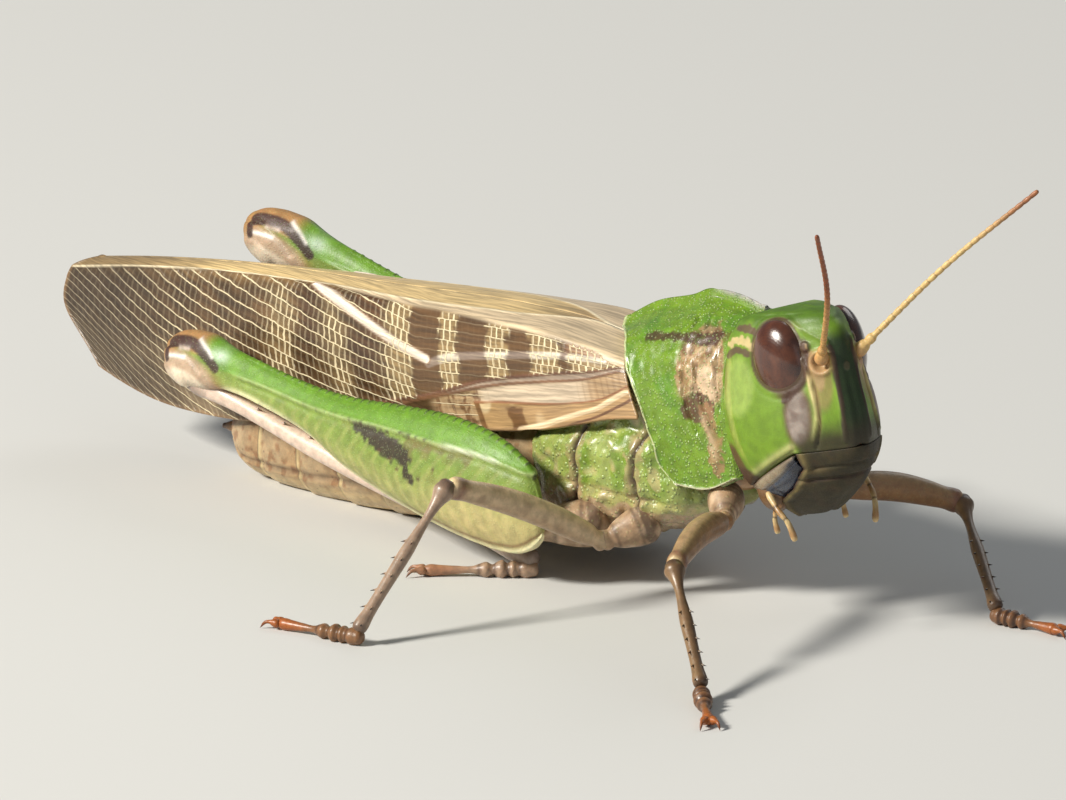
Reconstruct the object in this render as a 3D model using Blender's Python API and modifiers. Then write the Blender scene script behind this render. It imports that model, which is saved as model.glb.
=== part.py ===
"""A migratory locust, life size: an adult female of the green form, standing on the ground.

Lengths are millimetres until a mesh is made. The animal faces +X and its left side is +Y. Places are
measured from the point on the ground below the front edge of the pronotum's keel, and the last step
moves the whole animal so that the origin lies on the ground under the middle of its bounding box.
"""

from math import copysign, cos, pi, radians, sin, tan

import bmesh
import bpy
import numpy as np
from mathutils import Matrix, Vector

MM = 0.001
GAP = 0.12  # between pieces that touch in life
RIGHT, LEFT = -1, 1
SIDE_NAMES = {RIGHT: "r", LEFT: "l"}

# The front of the body is carried nose up, and the head is turned to the animal's right.
BODY_HEIGHT = 13.33
BODY_PITCH = radians(12.7)
HEAD_TURN = radians(-17.5)
BODY = Matrix.Translation((0, 0, BODY_HEIGHT)) @ Matrix.Rotation(-BODY_PITCH, 4, "Y")
HEAD_AT = (0.15, -0.46, 0)
HEAD = BODY @ Matrix.Translation(HEAD_AT) @ Matrix.Rotation(HEAD_TURN, 4, "Z")

# Head capsule, in the head's frame: (height, reach) lines of the face, the nape and the half width.
HEAD_TOP = 4.3
HEAD_FRONT = (
    (4.3, 4.4), (4.2, 5.75), (4.0, 6.6), (3.5, 7.35), (2.6, 7.85), (1.5, 8.05), (0, 8.2), (-1.5, 8.4),
    (-3, 8.4), (-4, 8.15), (-5, 7.4), (-6, 6.4), (-6.7, 5.2), (-7.3, 4.0), (-7.7, 3.0),
)
HEAD_BACK = (
    (4.3, 3.4), (4.2, 2.5), (4.0, 1.4), (3.4, 0.7), (1.5, 0.3), (-2, 0.2), (-4, 0.3),
    (-5.3, 0.3), (-6.2, 0.45), (-7.0, 1.0), (-7.7, 2.0),
)
HEAD_HALF_WIDTH = (
    (4.3, 0.4), (4.2, 1.5), (4.0, 2.1), (3.4, 2.7), (2.5, 3.15), (1.5, 3.4), (0, 3.75),
    (-1.5, 4.0), (-3, 4.0), (-4.2, 3.7), (-5.2, 3.2), (-6.2, 2.5), (-7.0, 1.85), (-7.7, 0.7),
)
HEAD_WIDEST = 0.06  # where the head is widest, as a share of the way from nape to face
FACE_ROUNDNESS, NAPE_ROUNDNESS = 1.8, 2.3
COSTA_HALF_WIDTH, COSTA_RISE = 0.75, 0.12  # the frontal costa, a flat ridge down the face
FACE_HOLLOW, FACE_HOLLOW_AT = 0.2, 1.7
# Side views (x, height): the line where the head capsule ends, and the rear edge of clypeus and labrum.
CAPSULE_LINE = ((9.5, -3.5), (5.6, -3.5), (-1.0, -6.05))
LABRUM_LINE = ((5.75, -3.3), (5.75, -4.4), (4.1, -5.62), (2.2, -6.42), (1.9, -8.5))

EYE_AT = (4.6, 2.35, 1.6)
EYE_RADII = (1.45, 1.15, 2.02)
EYE_LEAN, EYE_TURN = radians(8), radians(18)

ANTENNA_AT = (7.5, 1.15, 1.5)
ANTENNA_RADIUS = 0.26
ANTENNA_SWEEP = {
    RIGHT: ((2.6, -2.45, 4.7), (6.0, -7.1, 9.6)),
    LEFT: ((4.0, 2.7, 5.1), (8.3, 5.4, 9.6)),
}

# Pronotum, in the body's frame: lines from front to rear, from the keel down to the lower edge.
SHELL = 0.6
KEEL_LINE = ((-0.2, 0, 4.0), (-2.0, 0, 4.75), (-4.1, 0, 5.15), (-5.7, 0, 4.85), (-8.4, 0, 4.6), (-11.1, 0, 3.75))
KEEL_HALF_WIDTH, KEEL_RISE = 0.42, 0.5
PRONOTUM_LINES = (
    ((-0.2, 2.6, 2.95), (-4.5, 2.7, 3.3), (-8.9, 2.55, 3.05)),
    ((-0.4, 3.7, 1.5), (-4.0, 3.75, 1.6), (-8.0, 3.75, 1.55)),
    ((-0.5, 4.15, -0.6), (-3.6, 4.2, -0.6), (-7.0, 4.25, -0.4)),
    ((-0.6, 4.1, -3.0), (-3.3, 4.2, -3.1), (-6.3, 4.3, -2.8)),
    ((-0.9, 3.8, -4.9), (-3.1, 4.0, -5.45), (-5.4, 4.1, -4.7)),
)

# Trunk stations in the world frame: (x at half height, lean, low, top, half width).
THORAX = (
    (-3.7, 12.7, 6.3, 11.6, 2.7), (-4.6, 26, 5.4, 12.0, 3.3), (-5.65, 31, 4.9, 12.3, 4.15),
    (-7.5, 28, 3.8, 12.6, 4.35), (-9.5, 22, 3.1, 12.75, 4.4), (-11.5, 15, 2.5, 12.7, 4.35),
    (-13.5, 7, 2.1, 12.4, 4.1), (-15.3, 0, 1.9, 11.8, 3.7),
)
PLEURA = (
    (0, 0), (0.03, 0.42), (0.1, 0.72), (0.24, 0.94), (0.42, 1), (0.56, 1), (0.625, 0.86),
    (0.8, 0.82), (0.93, 0.66), (1, 0),
)
PROTHORAX = ((-0.45, 2.2, 1.7, -3.9), (-1.8, 2.9, 1.9, -5.2), (-3.4, 3.15, 2.0, -6.3))

ABDOMEN_FRONT, ABDOMEN_BACK = -15.45, -40.9
ABDOMEN_LOW = ((-15.4, 1.8), (-19, 1.1), (-24, 0.35), (-28, -0.05), (-37.5, -0.1), (-39.2, 0.1), (-40.3, 0.7),
               (-40.9, 1.6))
ABDOMEN_TOP = ((-15.4, 11.2), (-19, 10.8), (-24, 9.6), (-30, 7.7), (-35, 6.2), (-38, 5.3), (-40.9, 3.9))
ABDOMEN_HALF_WIDTH = ((-15.4, 3.5), (-20, 3.2), (-26, 2.9), (-32, 2.7), (-37, 2.42), (-39.5, 2.05), (-40.9, 1.45))
ABDOMEN_WAIST = 0.4  # where a ring is widest, as a share of its height
ABDOMEN_RINGS = 8
RING_STEP = 0.1

# Folded fore wing (tegmen): its upper fold and lower margin along the body.
WING = 0.5
WING_FRONT, WING_SHOULDER = -8.7, 2.0
WING_END = ((0, -52.5), (0.4, -54.35), (0.75, -53.95), (1, -51.2))
FOLD_HEIGHT = ((-8.7, 13.35), (-11.5, 13.6), (-14, 13.8), (-19, 13.6), (-25, 13.15), (-31, 12.65), (-37, 12.2),
               (-42.5, 11.6), (-48.6, 10.7), (-54.5, 9.6))
FOLD_HALF_WIDTH = ((-8.7, 3.2), (-12, 3.25), (-18, 3.1), (-23, 2.85), (-28, 2.45), (-33, 1.9), (-38, 1.35),
                   (-44, 1.05), (-54.5, 0.95))
MARGIN_HEIGHT = ((-6.7, 10.6), (-8.7, 10.2), (-11, 9.45), (-14, 8.5), (-18, 7.6), (-24, 6.4), (-30, 5.2),
                 (-36, 4.2), (-41, 3.5), (-46.5, 3.5), (-50.6, 4.25), (-54.5, 5.4))
MARGIN_HALF_WIDTH = ((-6.7, 4.4), (-11, 4.5), (-18, 4.15), (-24, 3.65), (-30, 3.25), (-36, 2.8), (-41, 2.4),
                     (-46.5, 2.2), (-54.5, 1.4))
DORSAL_SHARE = 0.3  # of the wing's rows that lie flat on the back
WING_RIDGE = 0.35

# Legs: hip, femur base, knee, ankle and tip of the foot, right and left, in the world frame.
FORE = {
    RIGHT: ((-1.4, -2.9, 6.6), (0.0, -4.5, 6.0), (3.1, -12.1, 5.65), (8.7, -16.0, 0.95), (12.3, -19.3, 0.32)),
    LEFT: ((-1.4, 2.9, 6.6), (0.2, 4.5, 6.0), (3.9, 10.85, 4.6), (10.8, 5.9, 0.95), (14.9, 6.5, 0.32)),
}
MIDDLE = {
    RIGHT: ((-7.0, -3.4, 4.2), (-8.4, -5.4, 3.3), (-11.5, -14.7, 7.9), (-12.1, -21.2, 0.95), (-17.6, -21.9, 0.32)),
    LEFT: ((-7.0, 3.4, 4.2), (-8.6, 5.4, 3.4), (-15.0, 11.8, 8.5), (-19.8, 16.4, 0.95), (-25.0, 18.5, 0.32)),
}
HIND = {
    RIGHT: ((-10.6, -3.7, 3.6), (-12.7, -5.5, 3.4), (-41.2, -4.5, 7.3), (-14.0, -5.0, 1.0), (-18.8, -9.1, 0.32)),
    LEFT: ((-10.6, 3.7, 3.6), (-12.7, 5.5, 3.6), (-43.3, 4.5, 12.3), (-17.5, 4.6, 1.0), (-23.1, 8.4, 0.32)),
}
COXA = ((0, 1.0), (1, 0.8))
FORE_FEMUR = ((0, 0.75), (0.12, 0.92), (0.45, 1.0), (0.8, 0.8), (1, 0.72))
MIDDLE_FEMUR = ((0, 0.7), (0.12, 0.8), (0.4, 0.82), (0.8, 0.74), (1, 0.68))
FEMUR_BOW = (-0.25, 0, 0.4)
TIBIA = ((0, 0.6), (0.3, 0.5), (0.9, 0.4), (1, 0.46))
HIND_TIBIA = ((0, 0.7), (0.5, 0.6), (0.92, 0.6), (1, 0.66))
TARSUS = ((0, 0.36), (0.14, 0.44), (0.24, 0.36), (0.38, 0.48), (0.5, 0.3), (0.84, 0.3), (0.93, 0.44), (1, 0.25))
# Hind femur: (share of its length, above its axis, below its axis, half thickness).
HIND_FEMUR = (
    (-0.045, 1.5, 1.0, 0.45), (-0.02, 2.9, 1.6, 0.8), (0.03, 3.75, 2.05, 1.15), (0.1, 4.15, 2.25, 1.5),
    (0.22, 4.05, 2.3, 1.7), (0.38, 3.2, 2.0, 1.6), (0.52, 2.3, 1.45, 1.35), (0.61, 1.95, 0.65, 1.1),
    (0.72, 1.8, 0.3, 0.95), (0.86, 1.85, 0.45, 0.95), (0.95, 2.0, 1.35, 1.25), (1.0, 1.8, 1.55, 1.25),
    (1.045, 1.1, 1.0, 0.85),
)


def along(keys, place):
    """The value at one place of a smooth line through keys, each a (place, value) pair."""
    places, values = np.array(sorted(keys)).T
    slopes = np.gradient(values, places)
    low = int(np.clip(np.searchsorted(places, place) - 1, 0, len(places) - 2))
    span = places[low + 1] - places[low]
    t = min(max((place - places[low]) / span, 0), 1)
    rise = values[low + 1] - values[low]
    bend = t * (1 - t) * ((1 - t) * (slopes[low] * span - rise) - t * (slopes[low + 1] * span - rise))
    return float(values[low] + rise * t + bend)


def through(points, share):
    """The point at one share of the way along a smooth line through points."""
    steps = np.linspace(0, 1, len(points))
    return Vector([along(tuple(zip(steps, axis)), share) for axis in zip(*points)])


def material(name, colour, roughness=0.5, metallic=0.0):
    made = bpy.data.materials.new(name)
    made.use_nodes = True
    shader = made.node_tree.nodes["Principled BSDF"]
    shader.inputs["Base Color"].default_value = (*colour, 1)
    shader.inputs["Roughness"].default_value = roughness
    shader.inputs["Metallic"].default_value = metallic
    made.diffuse_color = (*colour, 1)
    return made


def place_object(name, data, look, group="locust"):
    """Puts one object with its material into a collection."""
    made = bpy.data.objects.new(name, data)
    if look:
        data.materials.append(look)
    bpy.data.collections[group].objects.link(made)
    return made


def finish(shape, name, look, frame=Matrix(), smooth=40, group="locust"):
    """Makes an object of a bmesh whose points are millimetres in a frame."""
    bmesh.ops.transform(shape, matrix=Matrix.Scale(MM, 4) @ frame, verts=shape.verts)
    mesh = bpy.data.meshes.new(name)
    shape.to_mesh(mesh)
    shape.free()
    mesh.shade_smooth()
    mesh.set_sharp_from_angle(angle=radians(smooth))
    return place_object(name, mesh, look, group)


def grid(rows, around=False):
    """A bmesh sheet over rows of points; around joins the last row to the first."""
    shape = bmesh.new()
    lines = [[shape.verts.new(point) for point in row] for row in rows]
    pairs = list(zip(lines, lines[1:])) + ([(lines[-1], lines[0])] if around else [])
    for one, two in pairs:
        for i in range(len(one) - 1):
            shape.faces.new((one[i], one[i + 1], two[i + 1], two[i]))
    return shape


def loft(rings):
    """A closed bmesh skin over rings of points, with a fan over each end."""
    shape = bmesh.new()
    lines = [[shape.verts.new(point) for point in ring] for ring in rings]
    count = len(lines[0])
    for one, two in zip(lines, lines[1:]):
        for i in range(count):
            j = (i + 1) % count
            shape.faces.new((one[i], one[j], two[j], two[i]))
    for line in (lines[0], lines[-1]):
        middle = shape.verts.new(sum((vert.co for vert in line), Vector()) / count)
        for i in range(count):
            shape.faces.new((line[i], line[(i + 1) % count], middle))
    bmesh.ops.recalc_face_normals(shape, faces=shape.faces)
    return shape


def rounded(angle, reach, side, roundness):
    """A point of a superellipse quarter: reach along the first axis and side along the second."""
    power = 2 / roundness
    return (
        copysign(abs(cos(angle)) ** power, cos(angle)) * reach,
        copysign(abs(sin(angle)) ** power, sin(angle)) * side,
    )


def limb_rings(start, end, sizes, sides, swell=0.0, flat=1.0, bow=Vector()):
    """Rings of a limb with rounded ends. sizes is (share, radius), and flat narrows it sideways."""
    start, end = Vector(start), Vector(end)
    axis = end - start
    way = axis.normalized()
    across = way.cross(Vector((0, 0, 1))).normalized()
    upward = across.cross(way)
    rings = []
    ends = (0.35, 0.75)
    stations = []
    first, last = sizes[0][1] + swell, sizes[-1][1] + swell
    for share in ends:
        stations.append((-first * (1 - share) * 0.7 / axis.length, first * (1 - (1 - share) ** 2) ** 0.5))
    stations += [(share, radius + swell) for share, radius in sizes]
    for share in reversed(ends):
        stations.append((1 + last * (1 - share) * 0.7 / axis.length, last * (1 - (1 - share) ** 2) ** 0.5))
    for share, radius in stations:
        centre = start + axis * share + bow * sin(pi * min(max(share, 0), 1))
        rings.append([
            centre + across * cos(turn) * radius * flat + upward * sin(turn) * radius
            for turn in (2 * pi * i / sides for i in range(sides))
        ])
    return rings


def tube(name, points, radius, look, shares):
    """A tapering feeler: a curve with a bevel and filled caps, shares being its radii along it."""
    curve = bpy.data.curves.new(name, "CURVE")
    curve.dimensions = "3D"
    curve.bevel_depth = radius * MM
    curve.bevel_resolution = 1
    curve.use_fill_caps = True
    spline = curve.splines.new("POLY")
    spline.points.add(len(points) - 1)
    for slot, point, share in zip(spline.points, points, shares):
        slot.co = (*(point * MM), 1)
        slot.radius = share
    return place_object(name, curve, look)


def carve(host, *cutters, keep="DIFFERENCE"):
    for cutter in cutters:
        modifier = host.modifiers.new("cut by " + cutter.name, "BOOLEAN")
        modifier.operation = keep
        modifier.solver = "EXACT"
        modifier.object = cutter


def cutter_of(shape, name, frame=Matrix()):
    made = finish(shape, name, None, frame, group="cutters")
    made.hide_render = True
    made.display_type = "WIRE"
    return made


def slab(outline, low, high):
    """A block with a side outline of (x, height) points, from one y to another."""
    shape = bmesh.new()
    ends = [[shape.verts.new((x, y, z)) for x, z in outline] for y in (low, high)]
    for i, (one, two) in enumerate(zip(*ends)):
        j = (i + 1) % len(outline)
        shape.faces.new((one, two, ends[1][j], ends[0][j]))
    shape.faces.new(ends[0])
    shape.faces.new(ends[1])
    bmesh.ops.recalc_face_normals(shape, faces=shape.faces)
    return shape


# ---- Head ----


def head_point(height, turn):
    """A point of the head's surface; turn 0 is the middle of the face."""
    front, back = along(HEAD_FRONT, height), along(HEAD_BACK, height)
    half_width = along(HEAD_HALF_WIDTH, height)
    widest = back + (front - back) * HEAD_WIDEST
    facing = cos(turn) >= 0
    roundness = FACE_ROUNDNESS if facing else NAPE_ROUNDNESS
    reach = front - widest if facing else widest - back
    x, y = rounded(turn, reach, half_width, roundness)
    if facing:
        fade = min(max((HEAD_TOP - height) / 1.5, 0), 1) * min(max((height + 5.0) / 1.5, 0), 1)
        ridge = np.exp(-((y / COSTA_HALF_WIDTH) ** 4)) * COSTA_RISE
        hollow = np.exp(-(((abs(y) - FACE_HOLLOW_AT) / 0.7) ** 2)) * FACE_HOLLOW
        x += float(ridge - hollow) * fade
    return Vector((widest + x, y, height))


def head_skin(around=26):
    heights = [4.3, 4.22, 4.0, 3.6, 3.0, 2.2, 1.2, 0.2, -0.9, -2.0, -3.1, -4.2, -5.2, -6.1, -6.9, -7.4, -7.7]
    return loft([[head_point(z, 2 * pi * (i + 0.5) / around) for i in range(around)] for z in heights])


def ellipsoid(side, swell=0.0, segments=14, rings=9):
    """One eye, standing on its long axis and leaning back."""
    shape = bmesh.new()
    bmesh.ops.create_uvsphere(shape, u_segments=segments, v_segments=rings, radius=1)
    size = Matrix.Diagonal((*[radius + swell for radius in EYE_RADII], 1))
    place = Matrix.Translation((EYE_AT[0], EYE_AT[1] * side, EYE_AT[2]))
    turn = Matrix.Rotation(-EYE_TURN * side, 4, "Z") @ Matrix.Rotation(-EYE_LEAN, 4, "Y")
    bmesh.ops.transform(shape, matrix=place @ turn @ size, verts=shape.verts)
    return shape


def make_head(look):
    head = finish(head_skin(), "head", look, HEAD)
    below = [*CAPSULE_LINE, (-1.0, -9.0), (9.5, -9.0)]
    carve(head, cutter_of(slab(below, -6, 6), "mouth_room", HEAD))
    for side, letter in SIDE_NAMES.items():
        socket = cutter_of(ellipsoid(side, GAP), "eye_socket_" + letter, HEAD)
        hollow = bmesh.new()
        bmesh.ops.create_icosphere(hollow, subdivisions=2, radius=0.62)
        bmesh.ops.translate(hollow, verts=hollow.verts, vec=(ANTENNA_AT[0], ANTENNA_AT[1] * side, ANTENNA_AT[2]))
        carve(head, socket, cutter_of(hollow, "antenna_socket_" + letter, HEAD))


def make_eyes(look):
    for side, letter in SIDE_NAMES.items():
        finish(ellipsoid(side), "eye_" + letter, look, HEAD)


def make_mouth(face_look, jaw_look):
    """The clypeus and labrum in front, and a mandible on each side behind them."""
    top = [(x, z - GAP) for x, z in CAPSULE_LINE]
    lip = [top[0], (LABRUM_LINE[0][0], top[1][1]), *LABRUM_LINE[1:], (9.5, -8.5)]
    labrum = finish(head_skin(), "labrum", face_look, HEAD)
    carve(labrum, cutter_of(slab(lip, -6, 6), "lip_block", HEAD), keep="INTERSECT")
    behind = [(x - GAP, z + GAP * 0.8) for x, z in LABRUM_LINE[1:]]
    jaw = [top[1], *behind, (-1.0, -8.5), top[2]]
    for side, letter in SIDE_NAMES.items():
        ends = sorted((side * GAP / 2, side * 6))
        mandible = finish(head_skin(), "mandible_" + letter, jaw_look, HEAD)
        carve(mandible, cutter_of(slab(jaw, *ends), "jaw_block_" + letter, HEAD), keep="INTERSECT")


def make_palps(look):
    for side, letter in SIDE_NAMES.items():
        route = ((2.5, 3.1, -6.0), (3.2, 3.0, -6.7), (3.75, 2.8, -7.45), (3.85, 2.6, -8.4))
        points = [HEAD @ Vector((x, y * side, z)) for x, y, z in route]
        tube("palp_" + letter, [through(points, i / 6) for i in range(7)], 0.26, look, (1, 1, 1.1, 1, 1, 1.2, 1.1))


def make_antennae(look):
    steps = 13
    shares = [1.55, 1.5, 1.15] + [1.0] * (steps - 3)
    for side, letter in SIDE_NAMES.items():
        base = HEAD @ Vector((ANTENNA_AT[0], ANTENNA_AT[1] * side, ANTENNA_AT[2]))
        route = (base, *(base + Vector(step) for step in ANTENNA_SWEEP[side]))
        places = [0, 0.035, 0.08] + [0.08 + 0.92 * i / (steps - 3) for i in range(1, steps - 2)]
        tube("antenna_" + letter, [through(route, place) for place in places], ANTENNA_RADIUS, look, shares)


# ---- Trunk ----


def make_pronotum(look, columns=9, rows=7):
    """The saddle-shaped shield over the front of the body, with its keel."""
    lines = []
    for side in (LEFT, RIGHT):
        half = []
        for row in range(rows + 1):
            line = []
            for column in range(columns + 1):
                share = column / columns
                keel = through(KEEL_LINE, share)
                foot = Vector((keel.x * 0.995, KEEL_HALF_WIDTH, keel.z - KEEL_RISE))
                profile = (foot, *(through(shown, share) for shown in PRONOTUM_LINES))
                point = through(profile, (row / rows) ** 0.9)
                line.append(Vector((point.x, point.y * side, point.z)))
            half.append(line)
        lines.append(half)
    keel = [through(KEEL_LINE, column / columns) for column in range(columns + 1)]
    shape = grid(lines[0][::-1] + [keel] + lines[1])
    bmesh.ops.recalc_face_normals(shape, faces=shape.faces)
    if max(shape.faces, key=lambda face: face.calc_center_median().z).normal.z < 0:
        bmesh.ops.reverse_faces(shape, faces=shape.faces)
    shield = finish(shape, "pronotum", look, BODY)
    wall = shield.modifiers.new("wall", "SOLIDIFY")
    wall.thickness = SHELL * MM
    wall.offset = -1


def trunk_ring(middle, lean, low, top, half_width, profile, around=11):
    """A ring across the trunk, given by a (height share, width share) profile."""
    side = []
    for i in range(around + 1):
        share = 0.5 - 0.5 * cos(pi * i / around)
        width = along(profile, share) * half_width if 0 < share < 1 else 0
        height = low + (top - low) * share
        lean_back = (height - (low + top) / 2) * tan(radians(lean))
        side.append(Vector((middle - lean_back, width, height)))
    return side + [Vector((p.x, -p.y, p.z)) for p in side[-2:0:-1]]


def make_thorax(look):
    rings = [trunk_ring(*station, PLEURA) for station in THORAX]
    finish(loft(rings), "thorax", look)


def make_prothorax(look, around=16):
    """The neck and the underside of the first segment, inside the shield."""
    rings = []
    for index, (x, half_width, top, low) in enumerate(PROTHORAX):
        frame = HEAD if index == 0 else BODY
        middle, half_height = (top + low) / 2, (top - low) / 2
        ring = []
        for i in range(around):
            y, z = rounded(2 * pi * i / around, half_width, half_height, 2.5)
            ring.append(frame @ Vector((x, y, middle + z)))
        rings.append(ring)
    finish(loft(rings), "prothorax", look)


def make_abdomen(look, around=14):
    """Overlapping rings that taper to the tail; the underside lies on the ground behind."""
    rings = []
    for index in range(ABDOMEN_RINGS):
        for part, step in ((0.0, RING_STEP), (0.5, RING_STEP * 0.6), (0.96, 0.0)):
            share = (index + part) / ABDOMEN_RINGS
            x = ABDOMEN_FRONT + (ABDOMEN_BACK - ABDOMEN_FRONT) * share
            low, top = along(ABDOMEN_LOW, x), along(ABDOMEN_TOP, x)
            half_width = along(ABDOMEN_HALF_WIDTH, x) - RING_STEP + step
            waist = low + (top - low) * ABDOMEN_WAIST
            ring = []
            for i in range(around):
                turn = 2 * pi * i / around
                reach = top - waist if sin(turn) > 0 else waist - low
                y, z = rounded(turn, half_width, reach - RING_STEP + step, 2.3)
                ring.append(Vector((x, y, max(waist + z, 0))))
            rings.append(ring)
    finish(loft(rings), "abdomen", look)


def make_tail(look):
    """The two pairs of short valves that end a female's abdomen, and a cercus on each side."""
    root = Vector((ABDOMEN_BACK - 0.35, 0, 3.1))
    for name, rise, tip in (("valve_upper", 0.35, 0.75), ("valve_lower", -0.65, -0.85)):
        start = root + Vector((0, 0, rise))
        rings = limb_rings(start, start + Vector((-1.15, 0, tip - rise)), ((0, 0.42), (0.5, 0.4), (1, 0.26)), 8)
        finish(loft(rings), name, look)
    for side, letter in SIDE_NAMES.items():
        start = Vector((-40.3, side * 1.4, 4.2))
        rings = limb_rings(start, start + Vector((-1.2, side * 0.1, 0.1)), ((0, 0.28), (1, 0.25)), 6)
        finish(loft(rings), "cercus_" + letter, look)


# ---- Wings ----


def wing_point(u, v, side):
    """A point of the folded fore wing's outer face: u runs to the tip and v from the back down."""
    dorsal = min(v / DORSAL_SHARE, 1)
    lateral = max((v - DORSAL_SHARE) / (1 - DORSAL_SHARE), 0)
    front = WING_FRONT + WING_SHOULDER * lateral
    x = front + (along(WING_END, v) - front) * u
    fold, drop = along(FOLD_HALF_WIDTH, x), along(FOLD_HEIGHT, x)
    margin, low = along(MARGIN_HALF_WIDTH, x), along(MARGIN_HEIGHT, x)
    if not lateral:
        ridge = WING_RIDGE * (1 - dorsal**2) * min(u * 4, 1)
        return Vector((x, side * (GAP / 2 + (fold - GAP / 2) * dorsal), drop + ridge))
    y = fold + (margin - fold) * lateral**0.6
    return Vector((x, side * y, drop + (low - drop) * lateral))


def make_wings(look):
    columns, rows = 14, 10
    for side, letter in SIDE_NAMES.items():
        shape = grid([[wing_point(i / columns, j / rows, side) for i in range(columns + 1)] for j in range(rows + 1)])
        outward(shape, side)
        wing = finish(shape, "tegmen_" + letter, look)
        wall = wing.modifiers.new("blade", "SOLIDIFY")
        wall.thickness = WING * MM
        wall.offset = -1


def outward(shape, side):
    """Turns a sheet's faces away from the body."""
    bmesh.ops.recalc_face_normals(shape, faces=shape.faces)
    if sum(face.normal.y * side * face.calc_area() for face in shape.faces) < 0:
        bmesh.ops.reverse_faces(shape, faces=shape.faces)


def make_hind_wings(look):
    """The folded hind wings, seen only from below between the fore wings."""
    columns, rows = 9, 3
    for side, letter in SIDE_NAMES.items():
        sheet = []
        for j in range(rows + 1):
            line = []
            for i in range(columns + 1):
                point = wing_point(0.5 + 0.38 * i / columns, 0.42 + 0.3 * j / rows, side)
                line.append(point - Vector((0, side * (WING + 0.2), 0)))
            sheet.append(line)
        shape = grid(sheet)
        outward(shape, side)
        wing = finish(shape, "hindwing_" + letter, look)
        wall = wing.modifiers.new("blade", "SOLIDIFY")
        wall.thickness = WING * MM
        wall.offset = -1


# ---- Legs ----


def shortened(start, end, from_start, from_end):
    """The two ends of a limb, moved in along it."""
    start, end = Vector(start), Vector(end)
    way = (end - start).normalized()
    return start + way * from_start, end - way * from_end


def make_foot(name, ankle, tip, look):
    """A foot flat on the ground: three padded lengths and the claws."""
    ankle, tip = Vector(ankle), Vector(tip)
    start = Vector((ankle.x, ankle.y, tip.z + 0.12)) + (tip - ankle).normalized() * 0.75
    rings = limb_rings(start, tip, TARSUS, 6)
    for ring in rings:
        for point in ring:
            point.z = max(point.z, 0)
    finish(loft(rings), name, look)


def make_slim_leg(name, joints, femur_sizes, looks):
    hip, base, knee, ankle, tip = joints
    coxa = limb_rings(*shortened(hip, base, 0.9, 0.75), COXA, 8)
    finish(loft(coxa), name + "_coxa", looks["joint"])
    femur = limb_rings(*shortened(base, knee, 0.6, 0.8), femur_sizes, 8, flat=0.85, bow=Vector(FEMUR_BOW))
    finish(loft(femur), name + "_femur", looks["femur"])
    shin = limb_rings(*shortened(knee, ankle, 0.6, 0.25), TIBIA, 8)
    finish(loft(shin), name + "_tibia", looks["tibia"])
    make_foot(name + "_tarsus", ankle, tip, looks["tarsus"])


def hind_femur_rings(base, knee, around=12):
    base, knee = Vector(base), Vector(knee)
    way = (knee - base).normalized()
    across = way.cross(Vector((0, 0, 1))).normalized()
    upward = across.cross(way)
    rings = []
    for share, above, below, half in HIND_FEMUR:
        centre = base + (knee - base) * share
        ring = []
        for i in range(around):
            turn = 2 * pi * i / around
            reach = above if sin(turn) > 0 else below
            ring.append(centre + across * cos(turn) * half + upward * sin(turn) * reach)
        rings.append(ring)
    return rings


def make_hind_leg(name, joints, side, looks):
    hip, base, knee, ankle, tip = joints
    coxa = limb_rings(*shortened(hip, base, 1.35, 0.5), ((0, 1.15), (1, 0.8)), 8)
    finish(loft(coxa), name + "_coxa", looks["joint"])
    middle = Vector((0, side * 0.75, 0))
    femur_base = Vector(base) + Vector((-0.7, side * 0.3, 0.3))
    femur = finish(loft(hind_femur_rings(femur_base + middle, knee)), name + "_femur", looks["hind_femur"])
    shin_start = Vector(knee) + Vector((0.2, 0, -0.75))
    start, end = shortened(shin_start, ankle, 0, 0.3)
    shin = limb_rings(start, end, HIND_TIBIA, 8)
    finish(loft(shin), name + "_tibia", looks["tibia"])
    room = limb_rings(start, end, HIND_TIBIA, 8, swell=GAP)
    carve(femur, cutter_of(loft(room), name + "_knee_slot"))
    make_foot(name + "_tarsus", ankle, tip, looks["tarsus"])


def make_legs(looks):
    for side, letter in SIDE_NAMES.items():
        make_slim_leg("foreleg_" + letter, FORE[side], FORE_FEMUR, looks)
        make_slim_leg("midleg_" + letter, MIDDLE[side], MIDDLE_FEMUR, looks)
        make_hind_leg("hindleg_" + letter, HIND[side], side, looks)


def stand_on_origin():
    """Moves the whole animal so that the ground under the middle of its box is the origin."""
    bpy.context.view_layer.update()
    graph = bpy.context.evaluated_depsgraph_get()
    corners = []
    for item in bpy.data.collections["locust"].objects:
        shown = item.evaluated_get(graph)
        corners += [item.matrix_world @ vert.co for vert in shown.to_mesh().vertices]
        shown.to_mesh_clear()
    low = [min(corner[axis] for corner in corners) for axis in range(3)]
    high = [max(corner[axis] for corner in corners) for axis in range(3)]
    stand = bpy.data.objects.new("stand_point", None)
    bpy.context.scene.collection.objects.link(stand)
    stand.location = (-(low[0] + high[0]) / 2, -(low[1] + high[1]) / 2, -low[2])
    for group in ("locust", "cutters"):
        for item in bpy.data.collections[group].objects:
            item.parent = stand


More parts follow.
